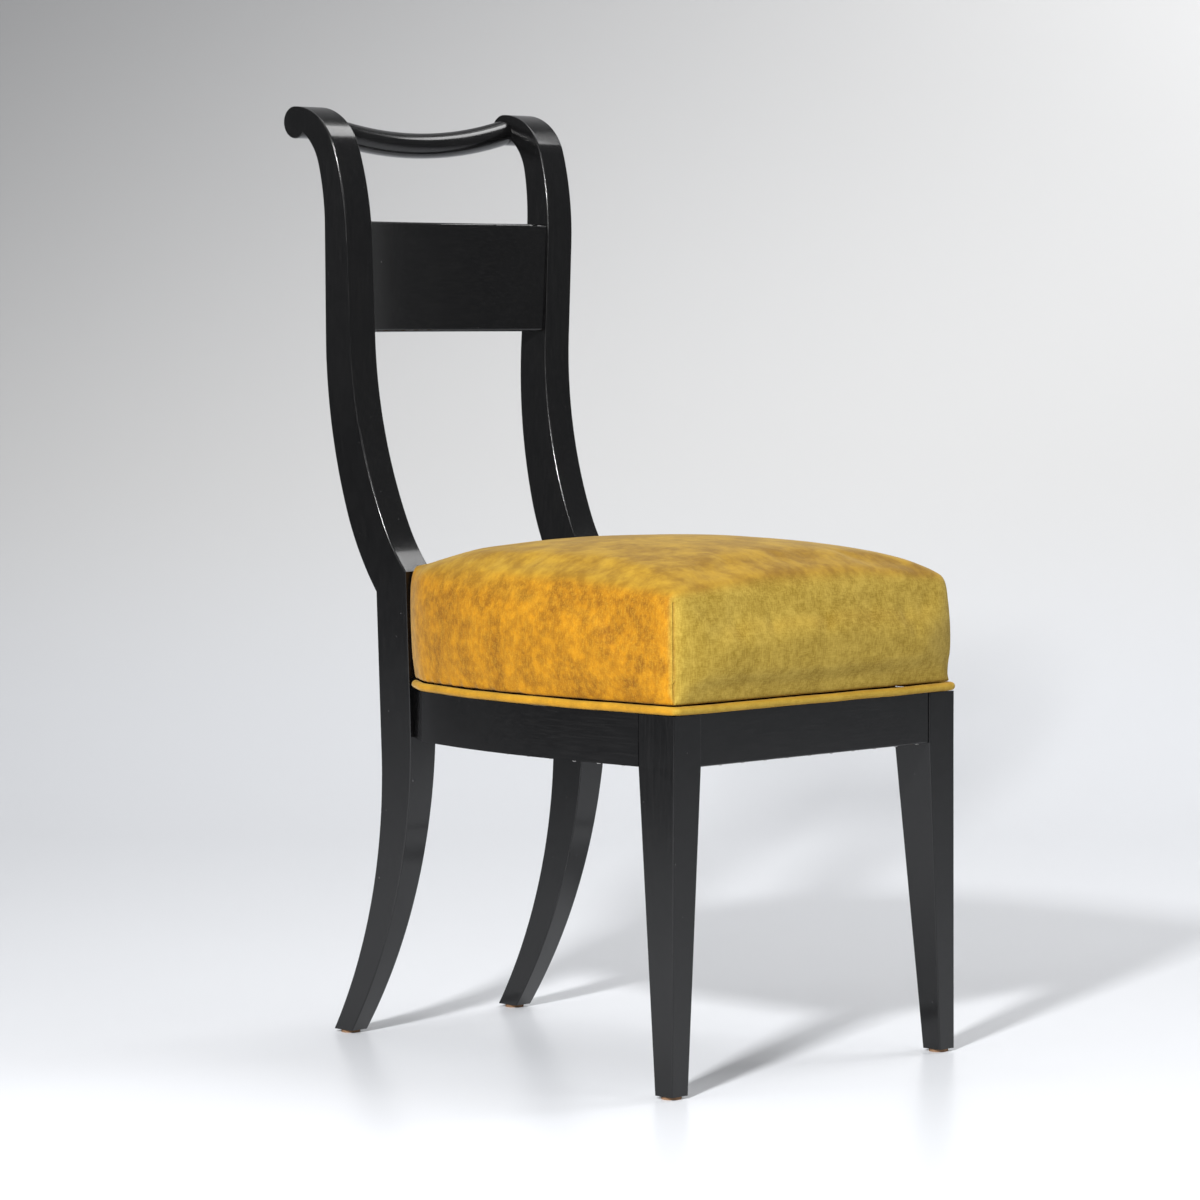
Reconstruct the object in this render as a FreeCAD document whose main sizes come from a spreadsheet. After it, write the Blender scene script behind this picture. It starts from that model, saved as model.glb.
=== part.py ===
import FreeCAD, Part
import math
import os
import Sketcher
from FreeCAD import Placement, Rotation, Vector

os.makedirs("parts", exist_ok=True)
doc = FreeCAD.newDocument("klismos_chair")

# Driving sizes in millimetres. Heights are measured from the floor. A size called "behind" is
# measured towards the back, from the face that its note names.
driving_sizes = {
    "total_height": (930, "floor to the crest of the scrolled posts"),
    "frame_width": (406, "across the front legs at the seat"),
    "frame_rear_width": (326, "across the side rails where their rear facets start"),
    "seat_depth": (409.2, "front legs' faces to the posts' front faces"),
    "rail_bottom": (306, "floor to the underside of the rails"),
    "rail_height": (49, "height of the four rails"),
    "glide_height": (3, "thickness of a glide"),
    "glide_diameter": (19, "a glide across"),
    "glide_nail": (2.2, "shank of a glide's nail"),
    "glide_nail_length": (16, "how far that nail goes up into the foot"),
    "leg_width": (37.5, "front leg across, at the rails"),
    "leg_depth": (45, "front leg front to back, at the rails"),
    "leg_foot": (22, "side of a front leg's square foot"),
    "foot_spread": (2, "how far a front foot stands out past the leg's top"),
    "arris": (1.2, "rounding of the legs' and rails' long edges"),
    "post_foot_span": (257.2, "across the two posts, projected to the floor"),
    "post_top_span": (332.2, "across the two posts at the crest"),
    "post_thickness": (35.3, "post across, above the rails' underside"),
    "post_foot_thickness": (21.5, "post across, at the floor"),
    "post_depth": (43, "post front to back, beside the seat"),
    "rear_foot_sweep": (98, "front of the rear foot behind the post's front face"),
    "rear_foot_length": (26, "rear foot front to back"),
    "front_sweep_top": (320, "height where the rear leg's front face starts to sweep back"),
    "rear_sweep_top": (290, "height where the rear leg's rear face starts to sweep back"),
    "front_break": (470, "height of the post's corner beside the cushion"),
    "rear_break": (448.4, "height of the corner at the back of the post"),
    "front_swoop_rise": (45, "front swoop's middle point above its corner"),
    "front_swoop_behind": (28.8, "the same point behind the post's front face"),
    "rear_swoop_rise": (81.6, "rear swoop's middle point above its corner"),
    "rear_swoop_behind": (39.4, "the same point behind the post's rear face"),
    "back_rake": (68.5, "front of the upper post behind the post's front face"),
    "waist_below_top": (230, "straight part's lower end below the crest"),
    "shoulder_below_top": (135, "straight part's upper end below the crest, at the front"),
    "rear_shoulder_below_top": (120, "straight part's upper end below the crest, at the rear"),
    "curl_below_top": (40, "start of the scroll's top curve below the crest"),
    "neck_below_top": (58, "neck's point below the crest"),
    "waist_depth": (35.7, "post front to back at the waist"),
    "shoulder_depth": (32.1, "post front to back at the shoulder"),
    "neck_behind": (38.3, "neck's rear point behind the front of the upper post"),
    "scroll_behind": (70.6, "scroll's centre behind the front of the upper post"),
    "scroll_radius": (16, "radius of the scroll's roll"),
    "notch_before": (11.8, "notch under the roll before the roll's centre"),
    "top_rail_diameter": (26, "round top rail across"),
    "top_rail_sag": (16.5, "how far its middle hangs below its ends"),
    "top_rail_drop": (3, "top rail's ends below the middle of the scrolls"),
    "top_rail_tenon": (14, "diameter of the round tenons on its ends"),
    "top_rail_tenon_length": (18, "length of those tenons"),
    "panel_height": (110.5, "height of the back panel"),
    "panel_below_top": (114.5, "panel's upper edge below the crest"),
    "panel_thickness": (12, "thickness of the back panel"),
    "panel_bow": (18, "how far the panel's middle lies behind its ends"),
    "panel_setback": (2.5, "panel's ends behind the front of the upper post"),
    "panel_round": (3, "rounding of the panel's edges"),
    "panel_tenon": (7, "thickness of the panel's tenons"),
    "panel_tenon_length": (12, "length of the panel's tenons"),
    "panel_shoulder": (10, "step from the panel's edges to its tenons"),
    "front_rail_thickness": (26, "front rail front to back"),
    "rail_setback": (1.5, "front rail's face behind the legs' faces"),
    "side_rail_thickness": (26, "side rail across, at its front end"),
    "side_straight": (130, "straight part of the side rail behind the legs' faces"),
    "side_facet": (38.2, "length of the side rail's rear facet, front to back"),
    "side_rail_end": (136, "outer edge of the side rail's rear end from the middle"),
    "side_rail_end_thickness": (23, "side rail's rear end across"),
    "rear_rail_thickness": (28, "rear rail front to back"),
    "rear_rail_behind": (13.8, "rear rail's face behind the posts' front faces"),
    "tenon": (8, "thickness of the rails' tenons"),
    "tenon_length": (18, "length of the side and rear rails' tenons"),
    "front_tenon_length": (15, "length of the front rail's tenons"),
    "tenon_shoulder": (8, "step from a rail's edges to its tenon"),
    "tenon_inset": (9, "tenon's cheek behind its rail's outer face"),
    "fit": (0.1, "clearance on each side of a tenon, hole or soft layer"),
    "block_height": (30, "height of the corner blocks"),
    "block_reach": (45, "reach of a corner block along each rail"),
    "glide_nail_head": (5, "head of a glide's nail"),
    "glide_nail_head_height": (1, "height of that head"),
    "screw_diameter": (4, "shank of a corner block's screw"),
    "screw_head": (8, "head of a corner block's screw"),
    "screw_head_height": (2.7, "height of that head"),
    "screw_length": (32, "length of a corner block's screw"),
    "screw_bite": (16, "how far a screw goes into its rail"),
    "webbing_width": (50, "width of a webbing strap"),
    "webbing_thickness": (2, "thickness of a webbing strap"),
    "webbing_pitch_across": (72, "spacing of the front-to-back straps"),
    "webbing_pitch_along": (115, "spacing of the side-to-side straps"),
    "webbing_middle": (205, "middle side-to-side strap behind the legs' faces"),
    "webbing_lap": (14, "how far the straps lie on the rails"),
    "webbing_slope": (12, "length of the slope down to a strap's tacked end"),
    "hessian_thickness": (1.2, "thickness of the hessian"),
    "hessian_inset": (20, "hessian's edge inside the frame's faces"),
    "soft_gap": (0.3, "clearance round the soft pieces"),
    "cushion_rise": (147, "crown of the seat over the rails"),
    "crown_radius": (1250, "radius of the seat's crown"),
    "crown_back": (190, "highest point of the crown behind the legs' faces"),
    "cushion_overhang": (6.7, "how far the cushion's sides stand out past the frame"),
    "cushion_belly": (85, "height of the cushion's widest line over the rails"),
    "cushion_edge": (58, "rounding of the cushion's upper edge"),
    "cushion_edge_start": (98, "height over the rails where that rounding starts"),
    "cushion_corner": (9, "radius of the cushion's front corners"),
    "cover_corner": (2.5, "radius of the cover's front corners at the rails"),
    "cushion_front_bow": (3, "bow of the cushion's front"),
    "cover_thickness": (1.5, "thickness of the velvet cover"),
    "piping_diameter": (8, "piping cord across"),
    "piping_bend": (40, "radius of the piping's bend at the side rails' facets"),
    "piping_corner": (6, "radius of the piping's front corners"),
    "piping_inset": (0.5, "piping's middle inside the frame's faces"),
    "dust_cover_thickness": (0.8, "thickness of the dust cover"),
    "dust_cover_drop": (5, "how far the dust cover hangs under the rails"),
    "dust_cover_inset": (6.5, "dust cover's edge inside the rails' faces"),
}
sizes = doc.addObject("Spreadsheet::Sheet", "sizes")
for row, (alias, (value, note)) in enumerate(driving_sizes.items(), start=1):
    sizes.set(f"A{row}", note)
    sizes.set(f"B{row}", str(value))
    sizes.setAlias(f"B{row}", alias)
doc.recompute()


def number(expression):
    return float(sizes.evalExpression(str(expression)))


# Places worked out from the driving sizes, as expressions that the features are bound to.
rail_top = "(sizes.rail_bottom + sizes.rail_height)"
half_frame = "(sizes.frame_width / 2)"
rear_half = "(sizes.frame_rear_width / 2)"
leg_inner = f"({half_frame} - sizes.leg_width)"
foot_outer = f"({half_frame} + sizes.foot_spread)"
post_front = "sizes.seat_depth"
post_rear = "(sizes.seat_depth + sizes.post_depth)"
post_lean = "((sizes.post_top_span - sizes.post_foot_span) / 2 / sizes.total_height)"
upper_front = "(sizes.seat_depth + sizes.back_rake)"
waist = "(sizes.total_height - sizes.waist_below_top)"
scroll_back = f"({upper_front} + sizes.scroll_behind)"
scroll_height = "(sizes.total_height - sizes.scroll_radius)"
panel_top = "(sizes.total_height - sizes.panel_below_top)"
panel_bottom = f"({panel_top} - sizes.panel_height)"
panel_front = f"({upper_front} + sizes.panel_setback)"
facet_start = "(sizes.seat_depth - sizes.side_facet)"
side_inner = f"({half_frame} - sizes.side_rail_thickness)"
side_end_inner = "(sizes.side_rail_end - sizes.side_rail_end_thickness)"
rear_rail_front = "(sizes.seat_depth + sizes.rear_rail_behind)"
rear_rail_back = f"({rear_rail_front} + sizes.rear_rail_thickness)"
front_rail_back = "(sizes.rail_setback + sizes.front_rail_thickness)"
tenon_bottom = "(sizes.rail_bottom + sizes.tenon_shoulder)"
tenon_top = f"({rail_top} - sizes.tenon_shoulder)"
cushion_front = "(sizes.cushion_overhang + sizes.cushion_front_bow)"
rail_end_height = f"({scroll_height} - sizes.top_rail_drop)"
panel_back = f"({panel_front} + sizes.panel_thickness)"
middle_back = f"(({scroll_back} + sizes.scroll_radius - {cushion_front}) / 2)"


def post_outer(height):
    return f"(sizes.post_foot_span / 2 + {post_lean} * ({height}))"


def post_inner(height):
    return f"({post_outer(height)} - sizes.post_thickness)"


def bend_centre(outer, inner, start, end):
    # radius of an arc that leaves a straight side at start and has come in to inner at end
    run = f"({end} - {start})"
    fall = f"({outer} - {inner})"
    return f"(({run}^2 + {fall}^2) / (2 * {fall}))"


side_radius = bend_centre(half_frame, rear_half, "sizes.side_straight", facet_start)
side_inner_radius = bend_centre(side_inner, side_end_inner, "sizes.side_straight", post_front)


def side_inner_at(back):
    # half width inside the side rails, behind their straight part
    run = f"({back} - sizes.side_straight)"
    return f"({side_inner} - {side_inner_radius} + sqrt({side_inner_radius}^2 - {run}^2))"


# Every piece is drawn behind the legs' faces and moved so that the chair's middle is the origin.
def settle(piece, label):
    piece.Label = label
    piece.setExpression("Placement.Base.y", f"-{middle_back}")
    nodes.append(piece)
    return piece


nodes = []


def new_body(label):
    body = doc.addObject("PartDesign::Body", label)
    return settle(body, label)


def new_sketch(body, name, plane, offset="0"):
    sketch = body.newObject("Sketcher::SketchObject", name)
    support = [item for item in body.Origin.OriginFeatures if item.Role == plane][0]
    sketch.AttachmentSupport = (support, "")
    sketch.MapMode = "FlatFace"
    sketch.setExpression("AttachmentOffset.Base.z", offset)
    return sketch


def free(expression):
    # a place that a tangent sets; the expression is only where the sketch starts from
    return ("free", expression)


def place_of(item):
    return number(item[1] if isinstance(item, tuple) else item)


def pin_point(sketch, edge, end, across, up):
    for kind, expression in (("DistanceX", across), ("DistanceY", up)):
        if isinstance(expression, tuple):
            continue
        link = Sketcher.Constraint(kind, -1, 1, edge, end, number(expression))
        sketch.setExpression(f"Constraints[{sketch.addConstraint(link)}]", str(expression))


def set_radius(sketch, edge, radius):
    link = sketch.addConstraint(Sketcher.Constraint("Radius", edge, number(radius)))
    sketch.setExpression(f"Constraints[{link}]", radius)


def draw_outline(sketch, corners, bulges=(), smooth=(), radii=(), centres=()):
    # a closed outline; bulges holds the height of each arc over its chord, positive to the left
    bulges, radii, centres = dict(bulges), dict(radii), dict(centres)
    points = [Vector(place_of(across), place_of(up), 0) for across, up in corners]
    edges = []
    for step, start in enumerate(points):
        end = points[(step + 1) % len(points)]
        shape = Part.LineSegment(start, end)
        if step in bulges:
            left = Vector(start.y - end.y, end.x - start.x, 0).normalize()
            shape = Part.Arc(start, (start + end) / 2 + left * bulges[step], end)
        edges.append(sketch.addGeometry(shape, False))

    def end_at(step, point):
        return min((1, 2), key=lambda end: (sketch.getPoint(edges[step], end) - point).Length)

    for step, point in enumerate(points):
        before = (step - 1) % len(points)
        kind = "Tangent" if step in smooth else "Coincident"
        joint = (edges[before], end_at(before, point), edges[step], end_at(step, point))
        sketch.addConstraint(Sketcher.Constraint(kind, *joint))
        pin_point(sketch, edges[step], end_at(step, point), *corners[step])
    for step, radius in radii.items():
        set_radius(sketch, edges[step], radius)
    for step, centre in centres.items():
        pin_point(sketch, edges[step], 3, *centre)


def draw_rectangle(sketch, left, right, low, high):
    draw_outline(sketch, [(left, low), (right, low), (right, high), (left, high)])


def draw_circle(sketch, across, up, diameter):
    centre = Vector(number(across), number(up), 0)
    circle = Part.Circle(centre, Vector(0, 0, 1), number(diameter) / 2)
    edge = sketch.addGeometry(circle, False)
    pin_point(sketch, edge, 3, across, up)
    set_radius(sketch, edge, f"({diameter}) / 2")


def arc_height(radius, width, rise):
    # how far an arc of that radius stands over a chord of that width and rise
    half_chord = math.hypot(number(width), number(rise)) / 2
    return number(radius) - math.sqrt(number(radius) ** 2 - half_chord ** 2)


def pad(body, sketch, length, name, reverse=False):
    feature = body.newObject("PartDesign::Pad", name)
    feature.Profile = sketch
    feature.setExpression("Length", length)
    feature.Reversed = reverse
    return feature


def pocket(body, sketch, length, name, reverse=False):
    before = volume_of(body)
    feature = body.newObject("PartDesign::Pocket", name)
    feature.Profile = sketch
    feature.Reversed = reverse
    if length is None:
        feature.Type = "ThroughAll"
        feature.SideType = "Symmetric"
    else:
        feature.setExpression("Length", length)
    doc.recompute()
    if feature.Shape.isNull() or feature.Shape.Volume > before - 1:
        raise RuntimeError(f"{body.Label}: {name} cuts nothing")
    return feature


def volume_of(body):
    doc.recompute()
    return body.Shape.Volume


def round_edges(body, feature, wanted, radius, name):
    doc.recompute()
    names = [f"Edge{step}" for step, edge in enumerate(feature.Shape.Edges, start=1) if wanted(edge)]
    rounding = body.newObject("PartDesign::Fillet", name)
    rounding.Base = (feature, names)
    rounding.setExpression("Radius", radius)
    doc.recompute()
    return rounding


def bore(body, plane, offset, across, up, diameter, depth, name, reverse=False):
    sketch = new_sketch(body, f"{name}_circle", plane, offset)
    draw_circle(sketch, across, up, diameter)
    return pocket(body, sketch, depth, name, reverse)


def mortise(body, plane, offset, box, depth, name, reverse=False):
    sketch = new_sketch(body, f"{name}_outline", plane, offset)
    left, right, low, high = box
    draw_rectangle(sketch, f"{left} - sizes.fit", f"{right} + sizes.fit",
                   f"{low} - sizes.fit", f"{high} + sizes.fit")
    return pocket(body, sketch, f"{depth} + sizes.fit", name, reverse)


def beyond_posts(side, low, high, reach):
    # the outline, seen from the front, of what lies outside a post's leaning inner face
    return [(f"{side} * {post_inner(low)}", low), (f"{side} * {post_inner(high)}", high),
            (f"{side} * ({reach})", high), (f"{side} * ({reach})", low)]


# Back posts: the side profile is sawn from a plank, then the front view is sawn across it.
def post_profile(body):
    profile = new_sketch(body, "side_profile", "YZ_Plane")
    swoop = f"({post_front} + sizes.front_swoop_behind)"
    corners = [
        (f"{post_front} + sizes.rear_foot_sweep", "sizes.glide_height"),
        (post_front, "sizes.front_sweep_top"),
        (post_front, "sizes.front_break"),
        (swoop, "sizes.front_break + sizes.front_swoop_rise"),
        (upper_front, waist),
        (upper_front, "sizes.total_height - sizes.shoulder_below_top"),
        (free(f"{upper_front} + 15.6"), "sizes.total_height - sizes.curl_below_top"),
        (scroll_back, free("sizes.total_height")),
        (f"{scroll_back} - sizes.notch_before", free("sizes.total_height - 27.6")),
        (f"{upper_front} + sizes.neck_behind", "sizes.total_height - sizes.neck_below_top"),
        (f"{upper_front} + sizes.shoulder_depth",
         "sizes.total_height - sizes.rear_shoulder_below_top"),
        (f"{upper_front} + sizes.waist_depth", waist),
        (f"{post_rear} + sizes.rear_swoop_behind", "sizes.rear_break + sizes.rear_swoop_rise"),
        (post_rear, "sizes.rear_break"),
        (post_rear, "sizes.rear_sweep_top"),
        (f"{post_front} + sizes.rear_foot_sweep + sizes.rear_foot_length", "sizes.glide_height"),
    ]
    bulges = {0: 25, 2: -2, 3: -10, 5: 4, 6: 11, 7: 22, 8: -3.6, 9: -1.7, 11: 5.4, 12: 4.6,
              14: -20.6}
    draw_outline(profile, corners, bulges, smooth=(1, 3, 4, 5, 6, 7, 9, 10, 11, 12, 14),
                 radii={7: "sizes.scroll_radius"}, centres={7: (scroll_back, scroll_height)})
    return profile


def post_front_view(body, side):
    waste = new_sketch(body, "front_view_waste", "XZ_Plane")
    above = "(sizes.total_height + 10)"
    reach = "(sizes.post_top_span / 2 + 20)"
    foot_inner = f"({post_outer(0)} - sizes.post_foot_thickness)"
    draw_outline(waste, [(f"{side} * {post_outer(0)}", "0"),
                         (f"{side} * {post_outer(above)}", above),
                         (f"{side} * {reach}", above), (f"{side} * {reach}", "0")])
    draw_outline(waste, [("0", "0"), (f"{side} * {foot_inner}", "0"),
                         (f"{side} * {post_inner('sizes.rail_bottom')}", "sizes.rail_bottom"),
                         (f"{side} * {post_inner(above)}", above), ("0", above)])
    return waste


def make_back_post(name, side):
    body = new_body(f"{name}_back_post")
    profile = post_profile(body)
    pad(body, profile, "sizes.post_top_span / 2 + 15", "plank", reverse=side < 0)
    sawn = pocket(body, post_front_view(body, side), None, "sawn_front_view")
    round_edges(body, sawn, lambda edge: is_post_arris(edge), "sizes.arris", "arrises")
    inward = side > 0
    mortise(body, "XZ_Plane", f"-{post_front}", side_tenon(side), "sizes.tenon_length",
            "side_rail_mortise")
    rear_tenon = f"({rear_rail_front} + sizes.tenon_inset)"
    mortise(body, "YZ_Plane", "0",
            (rear_tenon, f"{rear_tenon} + sizes.tenon", tenon_bottom, tenon_top),
            f"{post_inner('sizes.rail_bottom')} + sizes.tenon_length", "rear_rail_mortise", inward)
    cheek = f"({panel_front} + (sizes.panel_thickness - sizes.panel_tenon) / 2 + 1)"
    mortise(body, "YZ_Plane", "0",
            (cheek, f"{cheek} + sizes.panel_tenon", f"{panel_bottom} + sizes.panel_shoulder",
             f"{panel_top} - sizes.panel_shoulder"),
            f"{post_inner(panel_bottom)} + sizes.panel_tenon_length", "panel_mortise", inward)
    bore(body, "YZ_Plane", "0", scroll_back, rail_end_height,
         "sizes.top_rail_tenon + 2 * sizes.fit",
         f"{post_inner(rail_end_height)} + sizes.top_rail_tenon_length + sizes.fit",
         "top_rail_socket", inward)
    across, back = rear_glide_place(side)
    bore(body, "XY_Plane", "sizes.glide_height", across, back, nail_hole,
         "sizes.glide_nail_length + sizes.fit", "nail_hole", reverse=True)
    return body


def is_post_arris(edge):
    # long edges between a side face and the front or rear face, above the foot
    box = edge.BoundBox
    lowest, highest = number("sizes.glide_height"), number("sizes.total_height")
    across = abs(box.XMax) + abs(box.XMin) > 0 and box.XLength < 12 + 0.05 * box.ZLength
    return across and box.ZLength > 8 and box.ZMin >= lowest - 0.1 and box.ZMax <= highest + 0.1


def side_tenon(side):
    middle = "(sizes.side_rail_end - sizes.side_rail_end_thickness / 2)"
    inner, outer = f"({middle} - sizes.tenon / 2)", f"({middle} + sizes.tenon / 2)"
    left, right = (inner, outer) if side > 0 else (f"-{outer}", f"-{inner}")
    return (left, right, tenon_bottom, tenon_top)


def leg_tenon(side):
    outer = f"({half_frame} - sizes.tenon_inset)"
    inner = f"({outer} - sizes.tenon)"
    left, right = (inner, outer) if side > 0 else (f"-{outer}", f"-{inner}")
    return (left, right, tenon_bottom, tenon_top)


nail_hole = "sizes.glide_nail + 2 * sizes.fit"


def rear_glide_place(side):
    across = f"{side} * ({post_outer(0)} - sizes.post_foot_thickness / 2)"
    back = f"{post_front} + sizes.rear_foot_sweep + sizes.rear_foot_length / 2"
    return across, back


def front_glide_place(side):
    return f"{side} * ({foot_outer} - sizes.leg_foot / 2)", "sizes.leg_foot / 2"


# Front legs: square foot, tapering out to the block that the rails enter.
def make_front_leg(name, side):
    body = new_body(f"{name}_front_leg")
    foot = new_sketch(body, "foot_outline", "XY_Plane", "sizes.glide_height")
    draw_rectangle(foot, f"{side} * ({foot_outer} - sizes.leg_foot)", f"{side} * {foot_outer}",
                   "0", "sizes.leg_foot")
    block = new_sketch(body, "block_outline", "XY_Plane", "sizes.rail_bottom")
    draw_rectangle(block, f"{side} * {leg_inner}", f"{side} * {half_frame}", "0", "sizes.leg_depth")
    taper = body.newObject("PartDesign::AdditiveLoft", "taper")
    taper.Profile = foot
    taper.Sections = [block]
    taper.Ruled = True
    doc.recompute()
    leg = pad(body, block, "sizes.rail_height", "block")
    round_edges(body, leg, lambda edge: edge.BoundBox.ZLength > number("sizes.rail_height") - 1,
                "sizes.arris", "arrises")
    mortise(body, "XZ_Plane", "-sizes.leg_depth", leg_tenon(side), "sizes.tenon_length",
            "side_rail_mortise", reverse=True)
    front_cheek = "(sizes.rail_setback + sizes.tenon_inset)"
    mortise(body, "YZ_Plane", f"{side} * {leg_inner}",
            (front_cheek, f"{front_cheek} + sizes.tenon", tenon_bottom, tenon_top),
            "sizes.front_tenon_length", "front_rail_mortise", reverse=side > 0)
    across, back = front_glide_place(side)
    bore(body, "XY_Plane", "sizes.glide_height", across, back, nail_hole,
         "sizes.glide_nail_length + sizes.fit", "nail_hole", reverse=True)
    return body


# Rails
def is_lower_edge(edge):
    # the edges along a rail's underside, without those at its ends
    box = edge.BoundBox
    level = box.ZMax < number("sizes.rail_bottom") + 0.1
    return level and max(box.XLength if box.YLength < 1 else 0, box.YLength) > 30


def make_front_rail():
    body = new_body("front_rail")
    rail = new_sketch(body, "rail_outline", "XY_Plane", "sizes.rail_bottom")
    draw_rectangle(rail, f"-{leg_inner}", leg_inner, "sizes.rail_setback", front_rail_back)
    beam = pad(body, rail, "sizes.rail_height", "rail")
    round_edges(body, beam, is_lower_edge, "sizes.arris", "arrises")
    tenon = new_sketch(body, "tenon_outline", "XY_Plane", tenon_bottom)
    reach = f"({leg_inner} + sizes.front_tenon_length)"
    cheek = "(sizes.rail_setback + sizes.tenon_inset)"
    draw_rectangle(tenon, f"-{reach}", reach, cheek, f"{cheek} + sizes.tenon")
    pad(body, tenon, f"{tenon_top} - {tenon_bottom}", "tenons")
    for name, side in sides:
        bore(body, "XZ_Plane", f"-{front_rail_back}", f"{side} * {front_screw_across}",
             screw_height, screw_hole, "sizes.screw_bite + sizes.fit", f"{name}_screw_hole",
             reverse=True)
    return body


def make_side_rail(name, side):
    body = new_body(f"{name}_side_rail")
    rail = new_sketch(body, "rail_outline", "XY_Plane", "sizes.rail_bottom")
    corners = [(f"{side} * {across}", back) for across, back in (
        (half_frame, "sizes.leg_depth"), (half_frame, "sizes.side_straight"),
        (rear_half, facet_start), ("sizes.side_rail_end", post_front),
        (side_end_inner, post_front), (side_inner, "sizes.side_straight"),
        (side_inner, "sizes.leg_depth"))]
    outer = arc_height(side_radius, f"{half_frame} - {rear_half}",
                       f"{facet_start} - sizes.side_straight")
    inner = arc_height(side_inner_radius, f"{side_inner} - {side_end_inner}",
                       f"{post_front} - sizes.side_straight")
    draw_outline(rail, corners, {1: -side * outer, 4: side * inner}, smooth=(1, 5))
    pad(body, rail, "sizes.rail_height", "rail")
    front = new_sketch(body, "front_tenon_outline", "XZ_Plane", "-sizes.leg_depth")
    draw_rectangle(front, *leg_tenon(side))
    pad(body, front, "sizes.tenon_length", "front_tenon")
    rear = new_sketch(body, "rear_tenon_outline", "XZ_Plane", f"-{post_front}")
    draw_rectangle(rear, *side_tenon(side))
    pad(body, rear, "sizes.tenon_length", "rear_tenon", reverse=True)
    for name, back in (("front", front_screw_back), ("rear", rear_screw_back)):
        bore(body, "YZ_Plane", f"{side} * {rail_face_at(name)}", back, screw_height, screw_hole,
             "sizes.screw_bite + sizes.fit", f"{name}_screw_hole", reverse=side > 0)
    return body


def make_rear_rail():
    body = new_body("rear_rail")
    rail = new_sketch(body, "rail_outline", "XZ_Plane", f"-{rear_rail_front}")
    low, high = post_inner("sizes.rail_bottom"), post_inner(rail_top)
    draw_outline(rail, [(f"-{low}", "sizes.rail_bottom"), (low, "sizes.rail_bottom"),
                        (high, rail_top), (f"-{high}", rail_top)])
    beam = pad(body, rail, "sizes.rear_rail_thickness", "rail", reverse=True)
    round_edges(body, beam, is_lower_edge, "sizes.arris", "arrises")
    tenon = new_sketch(body, "tenon_outline", "XZ_Plane",
                       f"-({rear_rail_front} + sizes.tenon_inset)")
    reach = f"({low} + sizes.tenon_length)"
    draw_rectangle(tenon, f"-{reach}", reach, tenon_bottom, tenon_top)
    pad(body, tenon, "sizes.tenon", "tenons", reverse=True)
    for name, side in sides:
        bore(body, "XZ_Plane", f"-{rear_rail_front}", f"{side} * {rear_screw_across}",
             screw_height, screw_hole, "sizes.screw_bite + sizes.fit", f"{name}_screw_hole")
    return body


# Corner blocks inside the rails, each screwed to the two rails that it joins.
sides = (("left", -1), ("right", 1))
block_bottom = f"({tenon_top} - sizes.block_height)"
screw_height = f"({block_bottom} + sizes.block_height / 2)"
screw_hole = "sizes.screw_diameter + 2 * sizes.fit"
post_face = f"({post_inner(block_bottom)} - sizes.fit)"
front_screw_across = f"({leg_inner} - sizes.block_reach / 2)"
front_screw_back = "(sizes.leg_depth + sizes.block_reach / 2)"
rear_screw_across = f"({post_face} - sizes.block_reach / 2)"
rear_screw_back = f"({post_front} - sizes.block_reach * 0.7)"
rear_block_front = f"({post_front} - sizes.block_reach * 1.45)"


def rail_face_at(end):
    return side_inner if end == "front" else side_inner_at(rear_screw_back)


def make_corner_block(end, name, side):
    body = new_body(f"{end}_{name}_corner_block")
    block = new_sketch(body, "block_outline", "XY_Plane", block_bottom)
    if end == "front":
        corners = [(leg_inner, front_rail_back), (leg_inner, "sizes.leg_depth"),
                   (side_inner, "sizes.leg_depth"),
                   (side_inner, "sizes.leg_depth + sizes.block_reach"),
                   (f"{leg_inner} - sizes.block_reach", front_rail_back)]
    else:
        corners = [(post_face, rear_rail_front), (post_face, f"{post_front} - sizes.fit"),
                   (f"{side_end_inner} - sizes.fit", f"{post_front} - sizes.fit"),
                   (f"{side_inner_at(rear_block_front)} - sizes.fit", rear_block_front),
                   (f"{post_face} - sizes.block_reach", rear_rail_front)]
    draw_outline(block, [(f"{side} * ({across})", back) for across, back in corners])
    pad(body, block, "sizes.block_height", "block")
    grip = "(sizes.screw_length - sizes.screw_bite)"
    seat = f"({grip} - sizes.screw_head_height)"
    recess = "sizes.screw_head + 2 * sizes.fit"
    rail_face, across, back, outward = {
        "front": (front_rail_back, front_screw_across, front_screw_back, 1),
        "rear": (rear_rail_front, rear_screw_across, rear_screw_back, -1)}[end]
    turned = end == "rear"
    bore(body, "XZ_Plane", f"-{rail_face}", f"{side} * {across}", screw_height, screw_hole,
         "sizes.screw_length", "hole_along", reverse=turned)
    bore(body, "XZ_Plane", f"-({rail_face} + {outward} * {seat})", f"{side} * {across}",
         screw_height, recess, "sizes.block_reach", "recess_along", reverse=turned)
    face = rail_face_at(end)
    bore(body, "YZ_Plane", f"{side} * {face}", back, screw_height, screw_hole,
         "sizes.screw_length", "hole_across", reverse=side < 0)
    bore(body, "YZ_Plane", f"{side} * ({face} - {seat})", back, screw_height, recess,
         "sizes.block_reach", "recess_across", reverse=side < 0)
    return body


# Back: the bowed panel and the sagging round rail, both cut to the posts' lean.
def trim_to_posts(body, low, high, reach):
    waste = new_sketch(body, "ends_waste", "XZ_Plane")
    for _, side in sides:
        draw_outline(waste, beyond_posts(side, low, high, reach))
    return pocket(body, waste, None, "trimmed_ends")


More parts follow.
